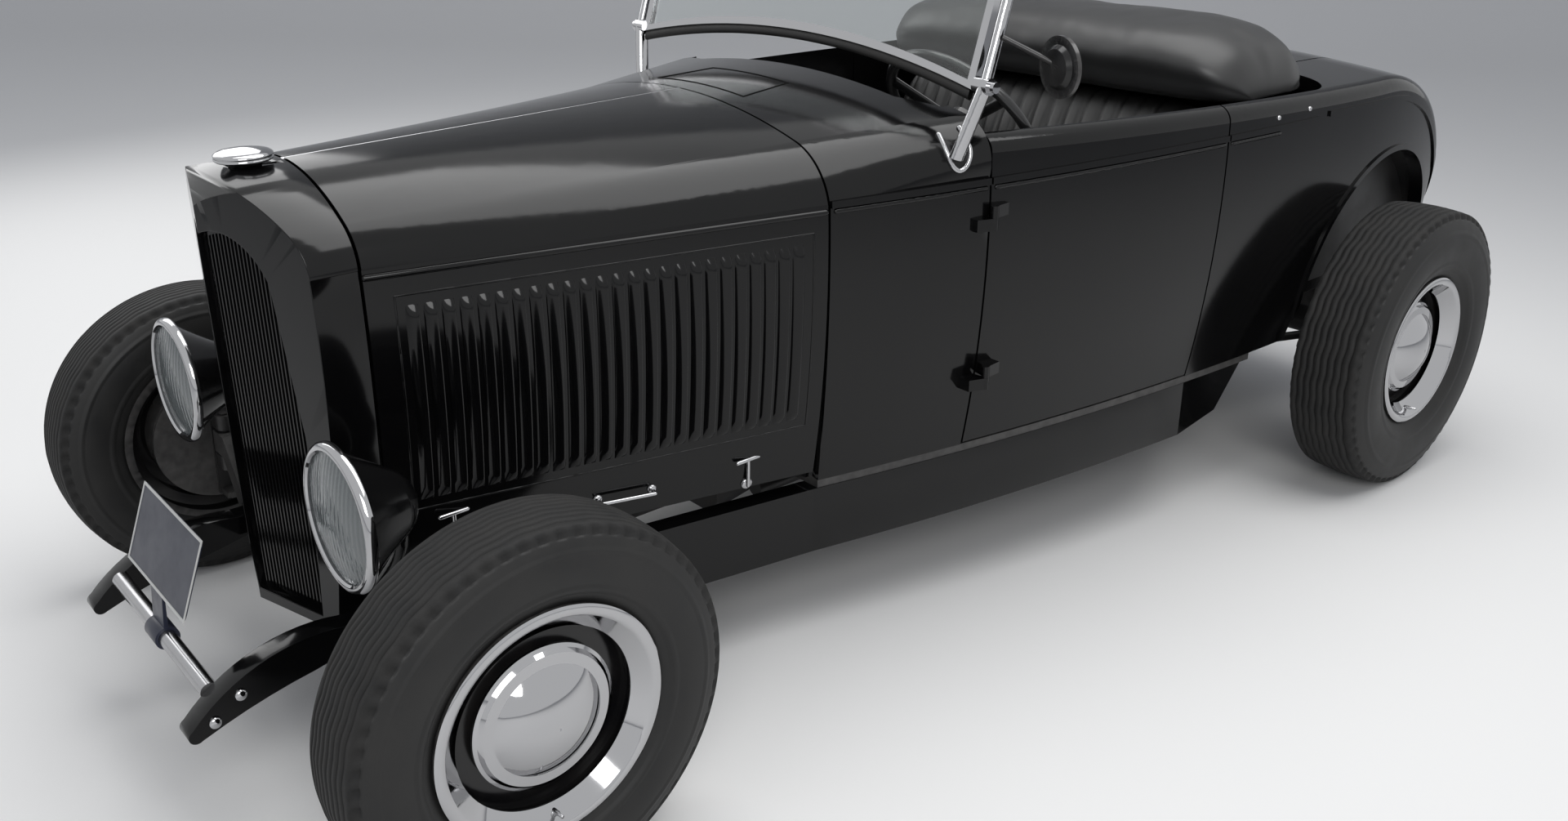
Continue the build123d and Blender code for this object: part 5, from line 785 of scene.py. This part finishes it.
class HOTROD_OT_cowl_trim(bpy.types.Operator):
    """Set the horseshoe plates at the windshield posts and trace the outline of the cowl vent as a thin near-black
    line, painted shade in the gap round its lid
    """
    bl_idname = "hotrod.cowl_trim"
    bl_label = "Cowl trim"

    def execute(self, context):
        verts, faces = [], []
        for name, s in SIDES:
            inward = (Vector((-s, 0, 0)) - UP).normalized()
            rising = (UP - Vector((s, 0, 0))).normalized()
            centre = at(s * HORSESHOE[0], HORSESHOE[1], HORSESHOE[2]) - inward * 0.2
            turns = [math.pi * k / 24 for k in range(25)]
            loop = [(HORSESHOE_HALF * math.cos(t), HORSESHOE_DROP * math.sin(t)) for t in turns]
            rail = []
            for dy, dv in [(HORSESHOE_HALF, -HORSESHOE_TAIL), *loop, (-HORSESHOE_HALF, -HORSESHOE_TAIL)]:
                place, normal = onto("cowl", centre + AFT * (dy / 1000) - rising * (dv / 1000), inward)
                rail.append(place + normal * HORSESHOE_OFF)
            chain(verts, faces, rail, HORSESHOE_ROD, 10)
        piece("horseshoe_trim", verts, faces, "polished_chrome", "body")
        verts, faces, outline = [], [], []
        for (x0, y0), (x1, y1) in zip(VENT_CORNERS, VENT_CORNERS[1:] + VENT_CORNERS[:1]):
            for k in range(10):
                place, _ = onto("cowl", at(x0 + (x1 - x0) * k / 10, y0 + (y1 - y0) * k / 10, ABOVE), -UP)
                outline.append(place)
        # a near-black bar round the vent: painted shade in the gap round the lid
        chain(verts, faces, outline, VENT_GAP_SHADE, 6, closed=True)
        piece("cowl_vent_gap_shade", verts, faces, "dark_opening", "body")
        return {"FINISHED"}


class HOTROD_OT_belt_beads(bpy.types.Operator):
    """Carry the hood's bead along the cowl, the doors and the quarters"""
    bl_idname = "hotrod.belt_beads"
    bl_label = "Belt beads"

    def execute(self, context):
        for name, s in SIDES:
            for part, node, body, (start, end) in (
                ("cowl", "cowl", "body", COWL_SPAN),
                ("door", f"door_{name}", f"door_{name}", DOOR_SPAN),
                ("quarter", f"quarter_{name}", "body", QUARTER_SPAN),
            ):
                verts, faces, row, count = [], [], [], 14
                for k in range(count + 1):
                    place, normal = beside(node, s, start + (end - start) * k / count, BEAD_HEIGHT)
                    row.append(place - normal * BEAD_SUNK)
                chain(verts, faces, row, BELT_BEAD, 12)
                piece(f"belt_bead_{part}_{name}", verts, faces, "gloss_black_paint", body)
        return {"FINISHED"}


class HOTROD_OT_screen_seal(bpy.types.Operator):
    """Lay the rubber strip between the windshield's lower rail and the cowl"""
    bl_idname = "hotrod.screen_seal"
    bl_label = "Windshield seal"

    def execute(self, context):
        (_, foot_y, foot_v), (_, top_y, top_v) = SCREEN_PIVOT, SCREEN_TOP
        normal, upward = leaning_face(math.atan2(top_y - foot_y, top_v - foot_v))
        origin = at(0, foot_y, foot_v)
        verts, stations = [], 40
        for x, h in arc_through(*SEAL_ARC, stations):
            for offset, drop in SEAL_SECTION:
                across, along = upward * ((h + drop) / 1000), normal * (offset / 1000)
                verts.append(origin + Vector((x / 1000, 0, 0)) + across + along)
        piece("windshield_seal", verts, rings(stations, len(SEAL_SECTION)), "black_rubber", "body")
        return {"FINISHED"}


def rounded_loop(corners, per_side=9):
    """A closed loop of points that runs smoothly through a few section corners (Catmull-Rom)."""
    loop, count = [], len(corners)
    for i in range(count):
        p0, p1, p2, p3 = (Vector(corners[(i + k - 1) % count]) for k in range(4))
        for k in range(per_side):
            t = k / per_side
            loop.append(0.5 * ((2 * p1) + (p2 - p0) * t + (2 * p0 - 5 * p1 + 4 * p2 - p3) * t**2
                               + (3 * p1 - p0 - 3 * p2 + p3) * t**3))
    return [tuple(p) for p in loop]


def pleated(name, corners, pitch, node):
    """A cushion swept along X from a closed side section, pleated across its face."""
    section = rounded_loop(corners)
    cy, cv = (sum(p[k] for p in section) / len(section) for k in (0, 1))
    verts = []
    for i in range(SEAT_STATIONS + 1):
        t = 2 * i / SEAT_STATIONS - 1
        x = SEAT_HALF * t
        shrink = max((1 - abs(t) ** 10) ** 0.35 if abs(t) < 1 else 0.0, 0.02)
        # the seams lie at whole pitches, and the pleats are fullest between them
        from_crest = abs((x + 1e4 * pitch) % pitch - pitch / 2)
        channel = math.exp(-((pitch / 2 - from_crest) / CHANNEL_WIDTH) ** 2)
        roll = math.sqrt(max(0.0, 1 - (from_crest / (pitch / 2)) ** 2 * 0.6))
        for y, v, puff in section:
            away = Vector((y - cy, v - cv, 0)).normalized()
            wobble = noise.noise(Vector((x / 70, y / 70, v / 70))) * STUFFING
            grow = puff * (PLEAT_RISE * roll - PLEAT_SINK * channel) + wobble
            verts.append(at(x, cy + (y - cy) * shrink + away.x * grow * shrink,
                            cv + (v - cv) * shrink + away.y * grow * shrink))
    obj = piece(name, verts, capped_rings(SEAT_STATIONS, len(section)), "seat_vinyl", "body")
    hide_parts(node)


class HOTROD_OT_seat(bpy.types.Operator):
    """Upholster the bench cushion and back with sewn pleats"""
    bl_idname = "hotrod.seat"
    bl_label = "Pleated seat"

    def execute(self, context):
        pitch = context.scene.hot_rod_sizes.pleat * 1000
        pleated("pleated_cushion", CUSHION_SECTION, pitch, "seat_cushion")
        pleated("pleated_back", BACK_SECTION, pitch, "seat_back")
        return {"FINISHED"}


class HOTROD_OT_top_cover(bpy.types.Operator):
    """Lay the soft cover over the folded top, drawn in and creased at its ends"""
    bl_idname = "hotrod.top_cover"
    bl_label = "Folded top cover"

    def execute(self, context):
        depth = context.scene.hot_rod_sizes.crease * 1000
        section = rounded_loop(COVER_SECTION, 7)
        cy, cv = sum(p[0] for p in section) / len(section), COVER_BASE
        verts = []
        for i in range(COVER_STATIONS + 1):
            t = 2 * i / COVER_STATIONS - 1
            x = COVER_HALF * math.copysign(1 - (1 - abs(t)) ** 1.25, t)
            share = abs(x) / COVER_HALF
            shrink = (1 - share**7) ** 0.42 if share < 1 else 0.03
            pull = max(0.0, (share - PULL_FROM) / (1 - PULL_FROM)) ** 1.5
            for y, v, _ in section:
                angle = math.atan2(v - cv, y - cy)
                folds = math.sin(COVER_FOLDS * angle + 2.2 * noise.noise(Vector((x / 90, 4, angle))))
                sway = noise.noise(Vector((x / 160, y / 130, v / 130))) * 1.3
                sway += 0.5 * noise.noise(Vector((x / 45, y / 60, v / 60)))
                grow = depth * (0.75 * folds * pull * shrink + 0.45 * sway)
                away = Vector((y - cy, v - cv)).normalized()
                verts.append(at(x, cy + (y - cy) * (0.35 + 0.65 * shrink) + away.x * grow,
                                cv + max(-6, v - cv) * shrink + away.y * grow))
        faces = capped_rings(COVER_STATIONS, len(section))
        obj = piece("top_cover", verts, faces, "black_vinyl", "body")
        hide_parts("top_boot")
        return {"FINISHED"}


def studio_floor():
    """A floor that rises into a backdrop behind the car."""
    rows = [(-FLOOR_REACH, 0), (FLOOR_REACH, 0)]
    rows += [(FLOOR_REACH + COVE * math.sin(t), COVE - COVE * math.cos(t)) for t in quarter_turn(12)[1:]]
    rows.append((FLOOR_REACH + COVE, BACKDROP_TOP))
    turn = Matrix.Rotation(CAMERA_AZIMUTH, 3, "Z")
    verts = [turn @ Vector((side, far, z)) for far, z in rows for side in (-FLOOR_HALF, FLOOR_HALF)]
    mesh = bpy.data.meshes.new("studio_floor")
    mesh.from_pydata([tuple(v) for v in verts], [],
                     [(2 * k, 2 * k + 1, 2 * k + 3, 2 * k + 2) for k in range(len(rows) - 1)])
    mesh.polygons.foreach_set("use_smooth", [True] * len(mesh.polygons))
    material, _, shader = shader_base("pale_floor")
    shader.inputs["Base Color"].default_value = FLOOR_COLOR
    shader.inputs["Roughness"].default_value = FLOOR_ROUGHNESS
    mesh.materials.append(material)
    floor = bpy.data.objects.new("studio_floor", mesh)
    bpy.context.scene.collection.objects.link(floor)


def studio_world():
    """A world pale to camera, glossy and transmitted rays, and dimmer as a light."""
    world = bpy.data.worlds.new("studio")
    world.use_nodes = True
    nodes, links = world.node_tree.nodes, world.node_tree.links
    nodes.clear()
    out, mix = nodes.new("ShaderNodeOutputWorld"), nodes.new("ShaderNodeMixShader")
    lit, seen = nodes.new("ShaderNodeBackground"), nodes.new("ShaderNodeBackground")
    lit.inputs["Color"].default_value, lit.inputs["Strength"].default_value = LIT_COLOR, LIT_STRENGTH
    seen.inputs["Color"].default_value = SEEN_COLOR
    path = nodes.new("ShaderNodeLightPath")
    glossy, total = nodes.new("ShaderNodeMath"), nodes.new("ShaderNodeMath")
    for node in (glossy, total):
        node.operation, node.use_clamp = "ADD", True
    links.new(path.outputs["Is Camera Ray"], glossy.inputs[0])
    links.new(path.outputs["Is Glossy Ray"], glossy.inputs[1])
    links.new(glossy.outputs[0], total.inputs[0])
    links.new(path.outputs["Is Transmission Ray"], total.inputs[1])
    links.new(total.outputs[0], mix.inputs["Fac"])
    links.new(lit.outputs[0], mix.inputs[1])
    links.new(seen.outputs[0], mix.inputs[2])
    links.new(mix.outputs[0], out.inputs["Surface"])
    bpy.context.scene.world = world


def soft_lights():
    """Soft boxes overhead, ahead of the car on its left, and a low fill on the right."""
    for label, place, size, power in SOFT_BOXES:
        data = bpy.data.lights.new(label, "AREA")
        data.shape, data.size, data.size_y, data.energy = "RECTANGLE", size[0], size[1], power
        lamp = bpy.data.objects.new(label, data)
        lamp.location = place
        lamp.rotation_euler = (AIM - lamp.location).to_track_quat("-Z", "Y").to_euler()
        bpy.context.scene.collection.objects.link(lamp)


def solved_camera():
    """The camera solved from the wheels and lamps of the photograph."""
    a, e, r = CAMERA_AZIMUTH, CAMERA_HEIGHT, CAMERA_ROLL
    back = Vector((math.sin(a) * math.cos(e), -math.cos(a) * math.cos(e), math.sin(e)))
    right = (-back).cross(Vector((0, 0, 1))).normalized()
    up = right.cross(-back)
    across = right * math.cos(r) + up * math.sin(r)
    upright = up * math.cos(r) - right * math.sin(r)
    data = bpy.data.cameras.new("camera")
    data.sensor_fit, data.sensor_width = "HORIZONTAL", SENSOR
    data.lens, data.shift_y = SENSOR * FOCAL_PIXELS / FRAME_WIDTH, SHIFT_PIXELS / FRAME_WIDTH
    data.clip_start, data.clip_end = 0.05, 100
    camera = bpy.data.objects.new("camera", data)
    turn = Matrix((across, upright, back)).transposed().to_4x4()
    camera.matrix_world = Matrix.Translation(CAMERA_PLACE) @ turn
    bpy.context.scene.collection.objects.link(camera)
    bpy.context.scene.camera = camera


class HOTROD_OT_stage(bpy.types.Operator):
    """Set the pale floor, the world, the soft lights and the camera"""
    bl_idname = "hotrod.stage"
    bl_label = "Stage and camera"

    def execute(self, context):
        studio_floor()
        studio_world()
        soft_lights()
        solved_camera()
        context.scene.view_settings.view_transform = "Standard"
        return {"FINISHED"}


class HOTROD_PT_panel(bpy.types.Panel):
    bl_idname = "HOTROD_PT_panel"
    bl_label = "Hot Rod"
    bl_space_type = "VIEW_3D"
    bl_region_type = "UI"
    bl_category = "Hot Rod"

    def draw(self, context):
        for group in (context.scene.hot_rod_sizes, context.scene.hot_rod_finish):
            for label in group.__annotations__:
                self.layout.prop(group, label)
        for operator in OPERATORS:
            self.layout.operator(operator.bl_idname)


OPERATORS = (
    HOTROD_OT_finishes, HOTROD_OT_tyres, HOTROD_OT_louvres, HOTROD_OT_hood_latches, HOTROD_OT_lamp_insides,
    HOTROD_OT_small_trim, HOTROD_OT_cowl_trim, HOTROD_OT_belt_beads, HOTROD_OT_screen_seal, HOTROD_OT_seat,
    HOTROD_OT_top_cover, HOTROD_OT_stage,
)
CLASSES = (HotRodSizes, HotRodFinish, *OPERATORS, HOTROD_PT_panel)


def register():
    for cls in CLASSES:
        bpy.utils.register_class(cls)
    bpy.types.Scene.hot_rod_sizes = PointerProperty(type=HotRodSizes)
    bpy.types.Scene.hot_rod_finish = PointerProperty(type=HotRodFinish)


def unregister():
    del bpy.types.Scene.hot_rod_finish
    del bpy.types.Scene.hot_rod_sizes
    for cls in reversed(CLASSES):
        bpy.utils.unregister_class(cls)


def main():
    register()
    bpy.ops.hotrod.finishes()
    bpy.ops.hotrod.tyres()
    bpy.ops.hotrod.louvres()
    bpy.ops.hotrod.hood_latches()
    bpy.ops.hotrod.lamp_insides()
    bpy.ops.hotrod.small_trim()
    bpy.ops.hotrod.cowl_trim()
    bpy.ops.hotrod.belt_beads()
    bpy.ops.hotrod.screen_seal()
    bpy.ops.hotrod.seat()
    bpy.ops.hotrod.top_cover()
    bpy.ops.hotrod.stage()
    bpy.context.view_layer.update()


if __name__ == "__main__":
    main()
